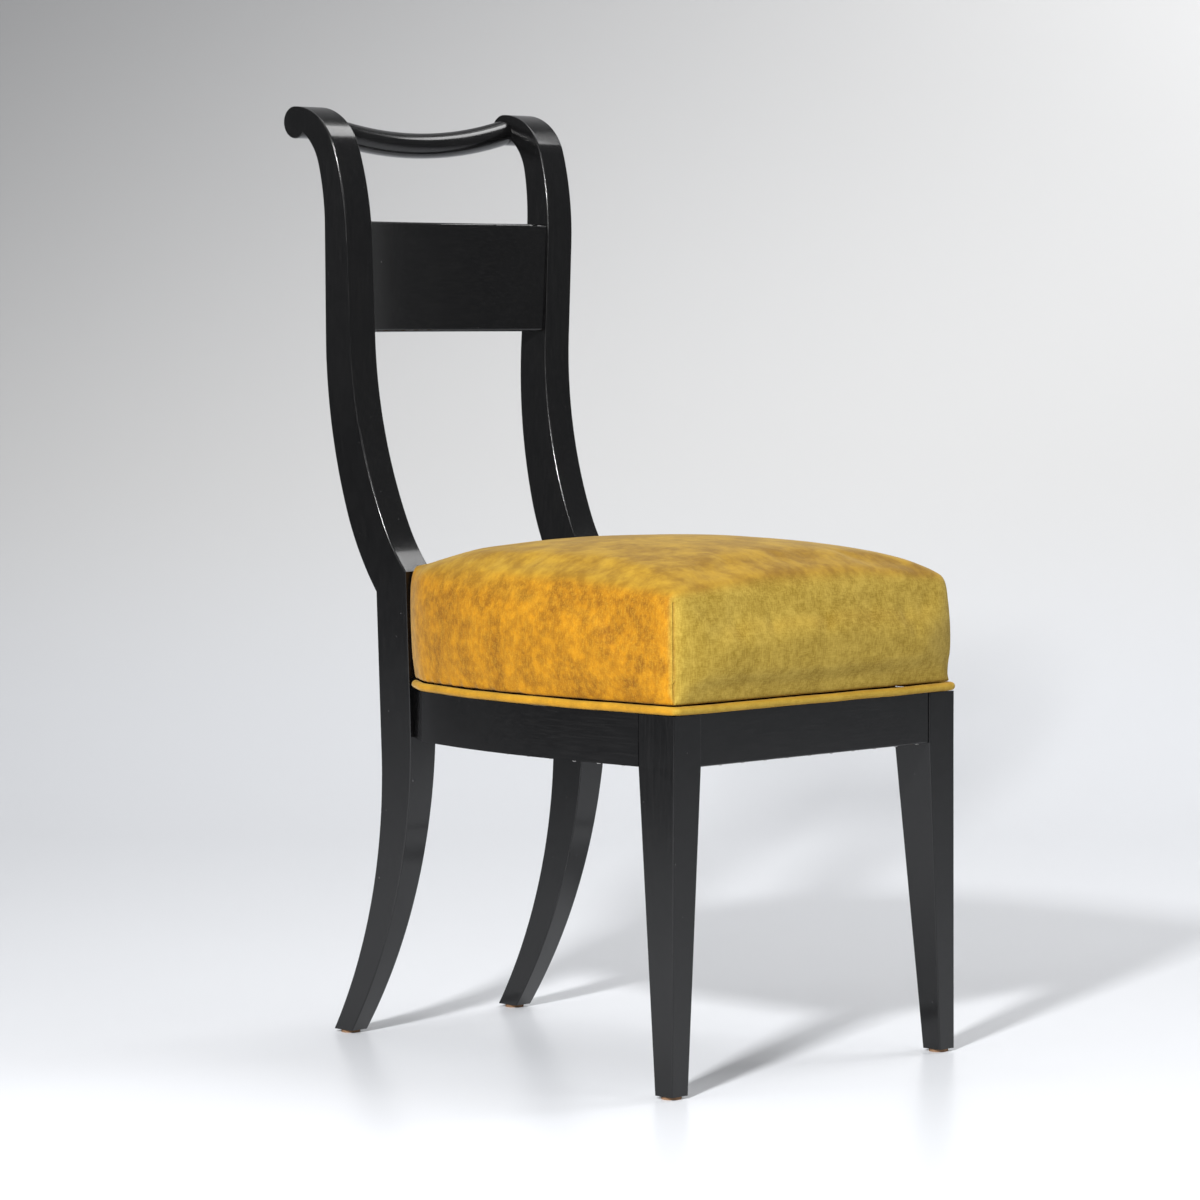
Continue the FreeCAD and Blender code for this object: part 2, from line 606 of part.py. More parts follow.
def make_back_panel():
    body = new_body("back_panel")
    board = new_sketch(body, "board_outline", "XY_Plane", panel_bottom)
    wide = f"({post_inner(panel_top)} + 2)"
    bow_radius = f"({wide}^2 + sizes.panel_bow^2) / (2 * sizes.panel_bow)"
    bow = number("sizes.panel_bow")
    draw_outline(board, [(f"-{wide}", panel_front), (wide, panel_front), (wide, panel_back),
                         (f"-{wide}", panel_back)], {0: bow, 2: -bow},
                 radii={0: bow_radius, 2: bow_radius})
    pad(body, board, "sizes.panel_height", "board")
    trimmed = trim_to_posts(body, f"({panel_bottom} - 5)", f"({panel_top} + 5)", f"{wide} + 10")
    ends = number(post_inner(panel_bottom)) - 6
    round_edges(body, trimmed, lambda edge: edge.BoundBox.XLength > ends, "sizes.panel_round",
                "rounded_edges")
    tenon = new_sketch(body, "tenon_outline", "XY_Plane",
                       f"{panel_bottom} + sizes.panel_shoulder")
    cheek = f"({panel_front} + (sizes.panel_thickness - sizes.panel_tenon) / 2 + 1)"
    root = f"({post_inner(panel_bottom)} - 4)"
    reach = f"({post_inner(panel_bottom)} + sizes.panel_tenon_length)"
    for _, side in sides:
        draw_rectangle(tenon, f"{side} * {root}", f"{side} * {reach}", cheek,
                       f"{cheek} + sizes.panel_tenon")
    pad(body, tenon, "sizes.panel_height - 2 * sizes.panel_shoulder", "tenons")
    return body


def make_top_rail():
    body = new_body("top_rail")
    half = post_inner(rail_end_height)
    bend = f"(({half}^2 + sizes.top_rail_sag^2) / (2 * sizes.top_rail_sag))"
    lowest = f"({rail_end_height} - sizes.top_rail_sag)"
    section = new_sketch(body, "section", "YZ_Plane")
    draw_circle(section, scroll_back, lowest, "sizes.top_rail_diameter")
    centre = f"({lowest} + {bend})"
    ends = [f"({scroll_back} - 10)", f"({scroll_back} + 10)"]
    line = Part.LineSegment(*(Vector(number(end), number(centre), 0) for end in ends))
    axis = section.addGeometry(line, True)
    pin_point(section, axis, 1, ends[0], centre)
    pin_point(section, axis, 2, ends[1], centre)
    sweep = body.newObject("PartDesign::Revolution", "sagging_rod")
    sweep.Profile = section
    sweep.ReferenceAxis = (section, ["Axis0"])
    sweep.Midplane = True
    sweep.setExpression("Angle", f"2 * asin(({half} + 3) / {bend})")
    doc.recompute()
    trim_to_posts(body, f"({rail_end_height} - 40)", f"({rail_end_height} + 40)", f"{half} + 30")
    for name, side in sides:
        tenon = new_sketch(body, f"{name}_tenon_circle", "YZ_Plane", f"{side} * ({half} - 6)")
        draw_circle(tenon, scroll_back, rail_end_height, "sizes.top_rail_tenon")
        pad(body, tenon, "sizes.top_rail_tenon_length + 6", f"{name}_tenon", reverse=side < 0)
    return body


# Fasteners: stacked cylinders along one direction, grouped where they are alike.
def make_fastener(name, place, direction, steps):
    cylinders = []
    for count, (start, length, diameter) in enumerate(steps, start=1):
        cylinder = doc.addObject("Part::Cylinder", f"{name}_{count}")
        cylinder.setExpression("Radius", f"({diameter}) / 2")
        cylinder.setExpression("Height", length)
        cylinder.Placement.Rotation = Rotation(Vector(0, 0, 1), Vector(*direction))
        for axis, base, share in zip("xyz", place, direction):
            cylinder.setExpression(f"Placement.Base.{axis}", f"{base} + {share} * ({start})")
        cylinders.append(cylinder)
    fastener = doc.addObject("Part::MultiFuse", name)
    fastener.Shapes = cylinders
    return fastener


def make_group(label, members):
    group = doc.addObject("Part::Compound", label)
    group.Links = members
    return settle(group, label)


def make_screws():
    grip = "(sizes.screw_length - sizes.screw_bite)"
    steps = [("-sizes.screw_bite", "sizes.screw_length", "sizes.screw_diameter"),
             (f"{grip} - sizes.screw_head_height", "sizes.screw_head_height", "sizes.screw_head")]
    screws = []
    for name, side in sides:
        for end, rail_face, across, back, outward in (
                ("front", front_rail_back, front_screw_across, front_screw_back, 1),
                ("rear", rear_rail_front, rear_screw_across, rear_screw_back, -1)):
            screws.append(make_fastener(
                f"{end}_{name}_screw_along", (f"{side} * {across}", rail_face, screw_height),
                (0, outward, 0), steps))
            screws.append(make_fastener(
                f"{end}_{name}_screw_across",
                (f"{side} * {rail_face_at(end)}", back, screw_height), (-side, 0, 0), steps))
    return make_group("corner_block_screws", screws)


# Glides under the four feet, each held by a nail whose head sits in a recess.
def glide_places():
    places = {}
    for name, side in sides:
        places[f"front_{name}"] = front_glide_place(side)
        places[f"rear_{name}"] = rear_glide_place(side)
    return places


nail_head_bottom = "((sizes.glide_height - sizes.glide_nail_head_height) / 2)"
nail_head_top = f"({nail_head_bottom} + sizes.glide_nail_head_height)"


def make_glide(name, across, back):
    body = new_body(f"{name}_glide")
    disc = new_sketch(body, "disc_outline", "XY_Plane")
    draw_circle(disc, across, back, "sizes.glide_diameter")
    draw_circle(disc, across, back, nail_hole)
    pad(body, disc, "sizes.glide_height", "disc")
    bore(body, "XY_Plane", "0", across, back, "sizes.glide_nail_head + 2 * sizes.fit",
         nail_head_top, "nail_head_recess", reverse=True)
    return body


def make_glide_nails():
    steps = [("0", "sizes.glide_nail_head_height", "sizes.glide_nail_head"),
             ("0", f"sizes.glide_height + sizes.glide_nail_length - {nail_head_bottom}",
              "sizes.glide_nail")]
    nails = [make_fastener(f"{name}_nail", (across, back, nail_head_bottom), (0, 0, 1), steps)
             for name, (across, back) in glide_places().items()]
    return make_group("glide_nails", nails)


# Webbing on the rails: three straps front to back, and three laid over them.
def make_strap_along(name, step):
    body = new_body(f"{name}_strap_along")
    strap = new_sketch(body, "strap_outline", "XY_Plane", rail_top)
    middle = f"({step} * sizes.webbing_pitch_across)"
    draw_rectangle(strap, f"{middle} - sizes.webbing_width / 2",
                   f"{middle} + sizes.webbing_width / 2",
                   f"{front_rail_back} - sizes.webbing_lap", f"{rear_rail_front} + sizes.webbing_lap")
    pad(body, strap, "sizes.webbing_thickness", "strap")
    return body


def make_strap_across(name, step):
    body = new_body(f"{name}_strap_across")
    back = f"(sizes.webbing_middle + {step} * sizes.webbing_pitch_along)"
    inside = side_inner if step < 0 else side_inner_at(back)
    reach = f"({inside} + sizes.webbing_lap)"
    flat = "(sizes.webbing_pitch_across + sizes.webbing_width / 2 + sizes.webbing_thickness)"
    low = f"({flat} + sizes.webbing_slope)"
    first = f"({rail_top} + sizes.webbing_thickness)"
    second = f"({rail_top} + 2 * sizes.webbing_thickness)"
    half = [(flat, first), (low, rail_top), (reach, rail_top), (reach, first), (low, first),
            (flat, second)]
    strap = new_sketch(body, "strap_outline", "XZ_Plane", f"-({back} - sizes.webbing_width / 2)")
    draw_outline(strap, half + [(f"-{across}", up) for across, up in reversed(half)])
    pad(body, strap, "sizes.webbing_width", "strap", reverse=True)
    return body


# Outlines inside the frame's outer faces, for the hessian and the dust cover.
def inset_half(inset, height):
    post_side = f"({post_inner(height)} - {inset})"
    return [(f"({leg_inner} - {inset})", f"(sizes.rail_setback + {inset})"),
            (f"({leg_inner} - {inset})", f"(sizes.leg_depth + {inset})"),
            (f"({half_frame} - {inset})", f"(sizes.leg_depth + {inset})"),
            (f"({half_frame} - {inset})", "sizes.side_straight"),
            (f"({rear_half} - {inset})", facet_start),
            (f"(sizes.side_rail_end - {inset})", f"({post_front} - {inset})"),
            (post_side, f"({post_front} - {inset})"),
            (post_side, f"({rear_rail_back} - {inset})")]


def draw_mirrored(sketch, half):
    draw_outline(sketch, half + [(f"-{across}", back) for across, back in reversed(half)])


def make_hessian():
    body = new_body("seat_hessian")
    cloth = new_sketch(body, "cloth_outline", "XY_Plane", hessian_bottom)
    draw_mirrored(cloth, inset_half("sizes.hessian_inset", hessian_bottom))
    pad(body, cloth, "sizes.hessian_thickness", "cloth")
    return body


def make_dust_cover():
    body = new_body("dust_cover")
    low = "(sizes.rail_bottom - sizes.dust_cover_drop)"
    floor = f"({low} + sizes.dust_cover_thickness)"
    wall = "(sizes.dust_cover_inset + sizes.dust_cover_thickness)"
    cloth = new_sketch(body, "cloth_outline", "XY_Plane", low)
    draw_mirrored(cloth, inset_half("sizes.dust_cover_inset", "sizes.rail_bottom"))
    pad(body, cloth, "sizes.dust_cover_drop", "cloth")
    space = new_sketch(body, "space_outline", "XY_Plane", floor)
    draw_mirrored(space, inset_half(wall, "sizes.rail_bottom"))
    pocket(body, space, "sizes.dust_cover_drop", "space", reverse=True)
    return body


hessian_bottom = f"({rail_top} + 2 * sizes.webbing_thickness + sizes.fit)"


# Seat: a crowned cushion whose sides swell out over the frame and draw in at the top. It is
# lofted through level outlines, and a large ball rounds its top.
def read(*names):
    return [number(name if "(" in name or "." in name else f"sizes.{name}") for name in names]


def cushion_growth(rise):
    # how far the cushion stands out past the frame at a height over the rails
    overhang, belly, edge, start = read(
        "cushion_overhang", "cushion_belly", "cushion_edge", "cushion_edge_start")
    above = max(rise - start, 0)
    return overhang * (1 - (rise / belly - 1) ** 2) - edge + math.sqrt(edge ** 2 - above ** 2)


def seat_wire(growth, rise, gap, skin):
    half, rear, straight, facet, run, face, back, foot_corner, full_corner, belly, bow = read(
        half_frame, rear_half, "side_straight", facet_start, "side_facet", post_front,
        rear_rail_back, "cover_corner", "cushion_corner", "cushion_belly", "cushion_front_bow")
    bend, end, top = read(side_radius, "side_rail_end", rail_top)
    share = min(max(rise, 0) / belly, 1)
    corner = foot_corner + (full_corner - foot_corner) * share
    front_bow = 0.2 + (bow - 0.2) * share
    height = top + rise
    drawn = min(growth + skin, 0)
    side = half + growth
    facet_place = (rear + 0.9 * growth, facet + 0.45 * growth)
    turn = math.asin((facet - straight) / bend) / 2
    side_middle = (half - bend + (bend + growth) * math.cos(turn),
                   straight + (bend + growth) * math.sin(turn))
    post_line = face - gap - skin + drawn
    slope = (rear - end) / run
    post_across = facet_place[0] - (post_line - facet_place[1]) * slope
    inside = number(post_inner(height)) - gap - skin + drawn
    diagonal = corner * (1 - math.sqrt(0.5))
    right = [(side - corner, -growth), (side - diagonal, diagonal - growth),
             (side, corner - growth), (side, straight), side_middle, facet_place,
             (post_across, post_line), (inside, post_line), (inside, back + growth)]
    points = [Vector(across, along, height) for across, along in right]
    mirrored = [Vector(-point.x, point.y, point.z) for point in points]

    def half_edges(side_points):
        edges = [Part.Arc(*side_points[0:3]).toShape(),
                 Part.makeLine(side_points[2], side_points[3]),
                 Part.Arc(*side_points[3:6]).toShape()]
        return edges + [Part.makeLine(side_points[step], side_points[step + 1])
                        for step in (5, 6, 7)]

    rear_edge = Part.makeLine(points[8], mirrored[8])
    front_edge = Part.Arc(mirrored[0], Vector(0, -growth - front_bow, height), points[0]).toShape()
    edges = [front_edge] + half_edges(points) + [rear_edge] + half_edges(mirrored)
    return Part.Wire(Part.__sortEdges__(edges))


def crown_solid(lowest, skin):
    # a foot tucked in behind the piping, and the swelling cushion over it
    rise, ball, centre, top, gap = read("cushion_rise", "crown_radius", "crown_back", rail_top,
                                        "soft_gap")
    belly, start, inset, cord = read("cushion_belly", "cushion_edge_start", "piping_inset",
                                     "piping_diameter")
    tuck = -(inset + cord / 2 + gap) - skin
    lip = cord + 3 * gap + skin
    foot = Part.Face(seat_wire(tuck, lowest, gap, skin)).extrude(Vector(0, 0, lip - lowest + 2))
    rises = [lip, 0.45 * belly, belly, start, 0.5 * (start + rise), rise + 2]
    wires = [seat_wire(cushion_growth(step) - skin, step, gap, skin) for step in rises]
    swell = Part.makeLoft(wires, True, False)
    crown = Part.makeSphere(ball - skin, Vector(0, centre, top + rise - ball))
    return swell.common(crown).fuse(foot).removeSplitter()


def make_shape(label, shape):
    piece = doc.addObject("Part::Feature", label)
    piece.Shape = shape
    return settle(piece, label)


def make_seat_cover():
    cover, gap = read("cover_thickness", "soft_gap")
    return make_shape("seat_cover", crown_solid(gap, 0).cut(crown_solid(0, cover)))


def make_seat_pad():
    cover, gap, top, cloth_top = read(
        "cover_thickness", "soft_gap", rail_top,
        f"({hessian_bottom} + sizes.hessian_thickness)")
    half = [Vector(number(across), number(back), top) for across, back in
            inset_half("(sizes.hessian_inset - sizes.soft_gap)", hessian_bottom)]
    outline = half + [Vector(-point.x, point.y, top) for point in reversed(half)]
    recess = Part.Face(Part.makePolygon(outline + outline[:1]))
    recess = recess.extrude(Vector(0, 0, cloth_top + gap - top))
    straps = [piece.Shape.translated(Vector(0, number(middle_back), 0))
              for piece in nodes if "_strap_" in piece.Label]
    return make_shape("seat_pad", crown_solid(gap, cover + gap).cut([recess] + straps))


# Piping on the rails, under the cushion's lip: one cord round the front and sides, one behind.
piping_height = f"({rail_top} + sizes.soft_gap + sizes.piping_diameter / 2)"


def piping_route():
    half, rear, straight, facet, face, end, run, gap, inset, corner, thick, smooth = read(
        half_frame, rear_half, "side_straight", facet_start, post_front, "side_rail_end",
        "side_facet", "soft_gap", "piping_inset", "piping_corner", "piping_diameter",
        "piping_bend")
    bend, height = read(side_radius, piping_height)
    out = -inset
    side = half + out
    centre = Vector(half - bend, straight, height)
    along = Vector(end - rear, run, 0).normalize()
    outward = Vector(along.y, -along.x, 0)
    # the bend touches both the side's long arc and the straight facet
    start = Vector(rear, facet, height) + outward * (out - smooth)
    reach = (start - centre).dot(along)
    turn = start + along * (-reach - math.sqrt(
        reach ** 2 - (start - centre).Length ** 2 + (bend + out - smooth) ** 2))
    meet_arc = centre + (turn - centre).normalize() * (bend + out)
    meet_facet = turn + outward * smooth
    cord_end = face - gap - thick / 2 * abs(along.x)
    last = meet_facet + along * ((cord_end - meet_facet.y) / along.y)

    def between(middle, first, second, radius):
        return middle + ((first - middle) + (second - middle)).normalize() * radius

    corner_centre = Vector(side - corner, corner - out, height)
    points = [Vector(side - corner, -out, height), None, Vector(side, corner - out, height),
              Vector(side, straight, height), None, meet_arc, None, meet_facet, last]
    points[1] = between(corner_centre, points[0], points[2], corner)
    points[4] = between(centre, points[3], points[5], bend + out)
    points[6] = between(turn, points[5], points[7], smooth)
    mirrored = [Vector(-point.x, point.y, point.z) for point in points]
    edges = [Part.makeLine(mirrored[0], points[0])]
    for side_points in (points, mirrored):
        edges += [Part.Arc(*side_points[step:step + 3]).toShape() for step in (0, 3, 5)]
        edges += [Part.makeLine(side_points[2], side_points[3]),
                  Part.makeLine(side_points[7], side_points[8])]
    return Part.Wire(Part.__sortEdges__(edges))


def make_seat_piping():
    route = piping_route()
    radius = number("sizes.piping_diameter") / 2
    first = route.OrderedEdges[0]
    start = route.OrderedVertexes[0].Point
    far = max(first.Vertexes, key=lambda vertex: (vertex.Point - start).Length).Point
    section = Part.Wire(Part.makeCircle(radius, start, far - start))
    cord = route.makePipeShell([section], True, False)
    expected = math.pi * radius ** 2 * route.Length
    if abs(cord.Volume / expected - 1) > 0.005:
        raise RuntimeError(f"seat_piping holds {cord.Volume:.0f}, not {expected:.0f}")
    return make_shape("seat_piping", cord)


def make_rear_piping():
    cord = doc.addObject("Part::Cylinder", "rear_piping")
    half = f"({post_inner(piping_height)} - sizes.soft_gap)"
    cord.setExpression("Radius", "sizes.piping_diameter / 2")
    cord.setExpression("Height", f"2 * {half}")
    cord.Placement.Rotation = Rotation(Vector(0, 0, 1), Vector(1, 0, 0))
    settle(cord, "rear_piping")
    cord.setExpression("Placement.Base.x", f"-{half}")
    cord.setExpression("Placement.Base.y", f"{rear_rail_back} - sizes.piping_inset - {middle_back}")
    cord.setExpression("Placement.Base.z", piping_height)
    return cord


for name, side in sides:
    make_back_post(name, side)
    make_front_leg(name, side)
    make_side_rail(name, side)
make_front_rail()
make_rear_rail()
make_back_panel()
make_top_rail()
for end in ("front", "rear"):
    for name, side in sides:
        make_corner_block(end, name, side)
make_screws()
for name, (across, back) in glide_places().items():
    make_glide(name, across, back)
make_glide_nails()
for name, step in (("left", -1), ("middle", 0), ("right", 1)):
    make_strap_along(name, step)
for name, step in (("front", -1), ("middle", 0), ("rear", 1)):
    make_strap_across(name, step)
make_hessian()
make_dust_cover()
make_seat_pad()
make_seat_cover()
make_seat_piping()
make_rear_piping()

doc.recompute()
for item in doc.Objects:
    if any(word in item.State for word in ("Invalid", "Error")):
        raise RuntimeError(f"{item.Label} did not build: {item.State}")
for piece in nodes:
    if piece.Shape.isNull() or not piece.Shape.isValid():
        raise RuntimeError(f"{piece.Label} has no valid shape")
    piece.Shape.exportStep(f"parts/{piece.Label}.step")
print(len(nodes), "pieces")
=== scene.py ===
import math
import bmesh
import bpy
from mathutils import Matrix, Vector, noise


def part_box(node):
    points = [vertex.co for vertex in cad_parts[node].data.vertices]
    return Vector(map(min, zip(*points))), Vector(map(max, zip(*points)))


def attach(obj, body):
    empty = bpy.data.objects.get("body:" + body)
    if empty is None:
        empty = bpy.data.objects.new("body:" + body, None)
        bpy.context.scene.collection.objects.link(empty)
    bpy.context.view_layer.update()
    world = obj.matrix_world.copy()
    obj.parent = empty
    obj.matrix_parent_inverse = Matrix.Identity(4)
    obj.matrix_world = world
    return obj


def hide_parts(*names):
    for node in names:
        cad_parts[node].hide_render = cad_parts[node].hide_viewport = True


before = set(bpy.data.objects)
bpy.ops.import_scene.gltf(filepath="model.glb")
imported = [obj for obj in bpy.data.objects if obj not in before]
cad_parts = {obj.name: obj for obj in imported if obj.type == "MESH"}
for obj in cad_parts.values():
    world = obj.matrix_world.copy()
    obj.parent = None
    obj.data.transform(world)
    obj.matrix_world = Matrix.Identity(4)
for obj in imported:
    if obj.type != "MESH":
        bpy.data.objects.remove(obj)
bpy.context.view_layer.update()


def report(stage):
    print("chair:", stage)


# Shader maths: a wire is a node's output, and expressions on wires add Math nodes.
class Wire:
    def __init__(self, shader, socket):
        self.shader, self.socket = shader, socket

    def combine(self, operation, *values):
        return self.shader.node("ShaderNodeMath", {"operation": operation}, dict(enumerate(values)))

    def __add__(self, other):
        return self.combine("ADD", self, other)

    def __sub__(self, other):
        return self.combine("SUBTRACT", self, other)

    def __rsub__(self, other):
        return self.combine("SUBTRACT", other, self)

    def __mul__(self, other):
        return self.combine("MULTIPLY", self, other)

    __radd__ = __add__
    __rmul__ = __mul__


class Shader:
    def __init__(self, name):
        self.material = bpy.data.materials.new(name)
        self.material.use_nodes = True
        self.tree = self.material.node_tree
        self.tree.nodes.clear()

    def node(self, kind, settings=None, inputs=None, output=0):
        made = self.tree.nodes.new(kind)
        for key, value in (settings or {}).items():
            if key == "stops":  # a ramp's stops: place and colour
                elements = made.color_ramp.elements
                while len(elements) < len(value):
                    elements.new(0.5)
                for element, (place, colour) in zip(elements, value):
                    element.position = place
                    element.color = colour
            else:
                setattr(made, key, value)
        for key, value in (inputs or {}).items():
            if isinstance(value, Wire):
                self.tree.links.new(value.socket, made.inputs[key])
            else:
                made.inputs[key].default_value = value
        return Wire(self, made.outputs[output])

    def coordinates(self, scale=(1, 1, 1), turn=(0, 0, 0)):
        place = self.node("ShaderNodeTexCoord", output=3)
        return self.node("ShaderNodeMapping", {}, {0: place, 2: turn, 3: scale})

    def cloud(self, place, size, detail=3.0, rough=0.5):
        # noise from 0 to 1, with features about size metres across
        return self.node("ShaderNodeTexNoise", {}, {"Vector": place, "Scale": 1 / size,
                                                   "Detail": detail, "Roughness": rough})

    def ramp(self, value, low, high):
        # 0 below low, 1 above high
        return self.node("ShaderNodeMapRange", {"clamp": True, "interpolation_type": "SMOOTHSTEP"},
                         {0: value, 1: low, 2: high, 3: 0.0, 4: 1.0})

    def mix(self, share, first, second):
        return self.node("ShaderNodeMix", {"data_type": "RGBA"}, {0: share, 6: first, 7: second},
                         output=2)

    def facing(self):
        normal = self.node("ShaderNodeNewGeometry", output=1)
        axes = self.node("ShaderNodeSeparateXYZ", {}, {0: normal})
        tree_node = axes.socket.node
        return [Wire(self, tree_node.outputs[step]) for step in range(3)]

    def bump(self, height, distance, strength=1.0, normal=None):
        inputs = {"Height": height, "Distance": distance, "Strength": strength}
        if normal:
            inputs["Normal"] = normal
        return self.node("ShaderNodeBump", {}, inputs)

    def finish(self, **sockets):
        named = {key.replace("_", " "): value for key, value in sockets.items()}
        surface = self.node("ShaderNodeBsdfPrincipled", {}, named)
        self.node_output = self.tree.nodes.new("ShaderNodeOutputMaterial")
        self.tree.links.new(surface.socket, self.node_output.inputs["Surface"])
        return self.material


# Black lacquer: brushed grain under a thin gloss, with specks and worn spots
lacquerLook = {
    "black": (0.0014, 0.0014, 0.0016, 1), "grey": (0.0062, 0.0060, 0.0060, 1),
    "wear": (0.06, 0.036, 0.024, 1), "speck": (0.25, 0.25, 0.25, 1),
    "grainSize": 0.0011, "grainStretch": 0.03, "polish": 0.12, "satin": 0.26,
}


def lacquer(name, along):
    # along is the axis of the grain: 0, 1 or 2
    look, shader = lacquerLook, Shader(name)
    stretch = [1.0, 1.0, 1.0]
    stretch[along] = look["grainStretch"]
    grain = shader.cloud(shader.coordinates(stretch), look["grainSize"], 4.0, 0.62)
    plain = shader.coordinates()
    cloudy = shader.cloud(plain, 0.045, 3.0)
    streaks = shader.ramp(grain, 0.42, 0.66)
    colour = shader.mix(streaks * 0.55 + cloudy * 0.3, look["black"], look["grey"])
    worn = shader.ramp(shader.cloud(plain, 0.035, 5.0, 0.7), 0.735, 0.8)
    colour = shader.mix(worn * 0.5, colour, look["wear"])
    specks = shader.ramp(shader.cloud(plain, 0.0035, 1.0), 0.8, 0.84)
    colour = shader.mix(specks * 0.35, colour, look["speck"])
    rough = look["polish"] + streaks * 0.05 + cloudy * (look["satin"] - look["polish"]) * 0.7
    normal = shader.bump(grain, 0.00006, 0.5)
    normal = shader.bump(cloudy, 0.0006, 0.35, normal)
    return shader.finish(Base_Color=colour, Roughness=rough, Normal=normal, Coat_Weight=0.3,
                         Coat_Roughness=0.05, IOR=1.42)


# Velvet: crushed in clouds, with painted light and sheen: the sides, the front and the top each get their
# own tone by the way they face
velvetLook = {
    "deep": (0.19, 0.072, 0.0015, 1), "gold": (0.44, 0.19, 0.003, 1), "light": (0.50, 0.285, 0.022, 1),
    "paintedSheenOlive": (0.245, 0.155, 0.013, 1), "paintedSheenPale": (0.43, 0.30, 0.05, 1),
    "cloud": 0.035, "crush": 0.009, "thread": 0.0012, "sheen": 0.22,
}


def velvet(name, seamed=True, brighten=0.0):
    look, shader = velvetLook, Shader(name)
    plain = shader.coordinates()
    axes = shader.facing()
    # painted light and sheen: masks for the front-facing and the upward-facing surface, which get paler
    # tones than the sides
    front = shader.ramp(axes[1] * -1.0, 0.35, 0.8)
    top = shader.ramp(axes[2], 0.25, 0.85)
    cloudy = shader.ramp(shader.cloud(plain, look["cloud"], 4.0, 0.6), 0.36, 0.66)
    crush = shader.ramp(shader.cloud(plain, look["crush"], 4.0, 0.65), 0.38, 0.66)
    upright = shader.cloud(shader.coordinates((1, 1, 0.16)), look["thread"], 3.0, 0.6)
    level = shader.cloud(shader.coordinates((0.16, 0.5, 1)), look["thread"] * 0.9, 3.0, 0.6)
    threads = upright * 0.55 + level * 0.45
    side = shader.mix(cloudy * 0.55 + crush * 0.45, look["deep"], look["gold"])
    side = shader.mix(shader.ramp(threads, 0.46, 0.62) * 0.35, side, look["light"])
    paintedFrontSheen = shader.mix(crush * 0.4 + cloudy * 0.3 + shader.ramp(threads, 0.42, 0.6) * 0.5,
                      look["paintedSheenOlive"], look["paintedSheenPale"])
    upper = shader.mix(cloudy * 0.7 + crush * 0.3, look["deep"], look["light"])
    upper = shader.mix(0.42, upper, look["paintedSheenOlive"])
    # painted light and sheen: the front takes the pale olive tone and the top a mix, standing in for how
    # light and sheen fall on them
    colour = shader.mix(front, side, paintedFrontSheen)
    colour = shader.mix(top, colour, upper)
    if brighten:
        colour = shader.mix(brighten, colour, look["light"])
    height = threads * 0.6 + crush * 0.4
    normal = shader.bump(height, 0.00035, 0.55)
    if seamed:
        distance = shader.node("ShaderNodeAttribute", {"attribute_name": "seamDistance"}, output=2)
        groove = shader.ramp(distance, 0.0002, 0.0016)
        normal = shader.bump(groove, 0.0012, 0.9, normal)
        # painted shade: the cloth darkens along the seam's groove
        colour = shader.mix((1 - groove) * 0.45, colour, look["deep"])
    return shader.finish(Base_Color=colour, Roughness=0.78, Normal=normal,
                         Sheen_Weight=look["sheen"], Sheen_Roughness=0.38,
                         Sheen_Tint=(1.0, 0.86, 0.5, 1), Specular_IOR_Level=0.2)


def weave(name, dark, light, pitch):
    # plain weave: two sets of threads over and under
    shader = Shader(name)
    place = shader.coordinates()
    waves = [shader.node("ShaderNodeTexWave", {"wave_type": "BANDS", "bands_direction": axis},
                         {"Vector": place, "Scale": 0.1 / pitch * math.pi, "Distortion": 0.6,
                          "Detail": 1.0, "Detail Scale": 2.0}, output=1) for axis in ("X", "Y")]
    threads = waves[0] * 0.5 + waves[1] * 0.5
    cloudy = shader.cloud(place, 0.012, 4.0)
    colour = shader.mix(threads * 0.7 + cloudy * 0.3, dark, light)
    return shader.finish(Base_Color=colour, Roughness=0.92, Sheen_Weight=0.1,
                         Normal=shader.bump(threads, 0.0003, 0.7))


def bareWood(name):
    shader = Shader(name)
    grain = shader.cloud(shader.coordinates((1, 0.06, 1)), 0.0016, 4.0, 0.6)
    rings = shader.cloud(shader.coordinates((1, 0.15, 1)), 0.012, 2.0)
    colour = shader.mix(grain * 0.6 + rings * 0.4, (0.30, 0.185, 0.09, 1), (0.62, 0.44, 0.25, 1))
    return shader.finish(Base_Color=colour, Roughness=0.75, Normal=shader.bump(grain, 0.0003, 0.6))


def steel(name):
    shader = Shader(name)
    cloudy = shader.cloud(shader.coordinates(), 0.002, 3.0)
    return shader.finish(Base_Color=shader.mix(cloudy, (0.42, 0.41, 0.4, 1), (0.6, 0.59, 0.57, 1)),
                         Roughness=0.25 + cloudy * 0.25, Metallic=1.0)


def felt(name):
    shader = Shader(name)
    fuzz = shader.cloud(shader.coordinates(), 0.0009, 5.0, 0.7)
    return shader.finish(Base_Color=shader.mix(fuzz, (0.13, 0.065, 0.03, 1), (0.34, 0.2, 0.11, 1)),
                         Roughness=0.95, Normal=shader.bump(fuzz, 0.0004, 0.8))


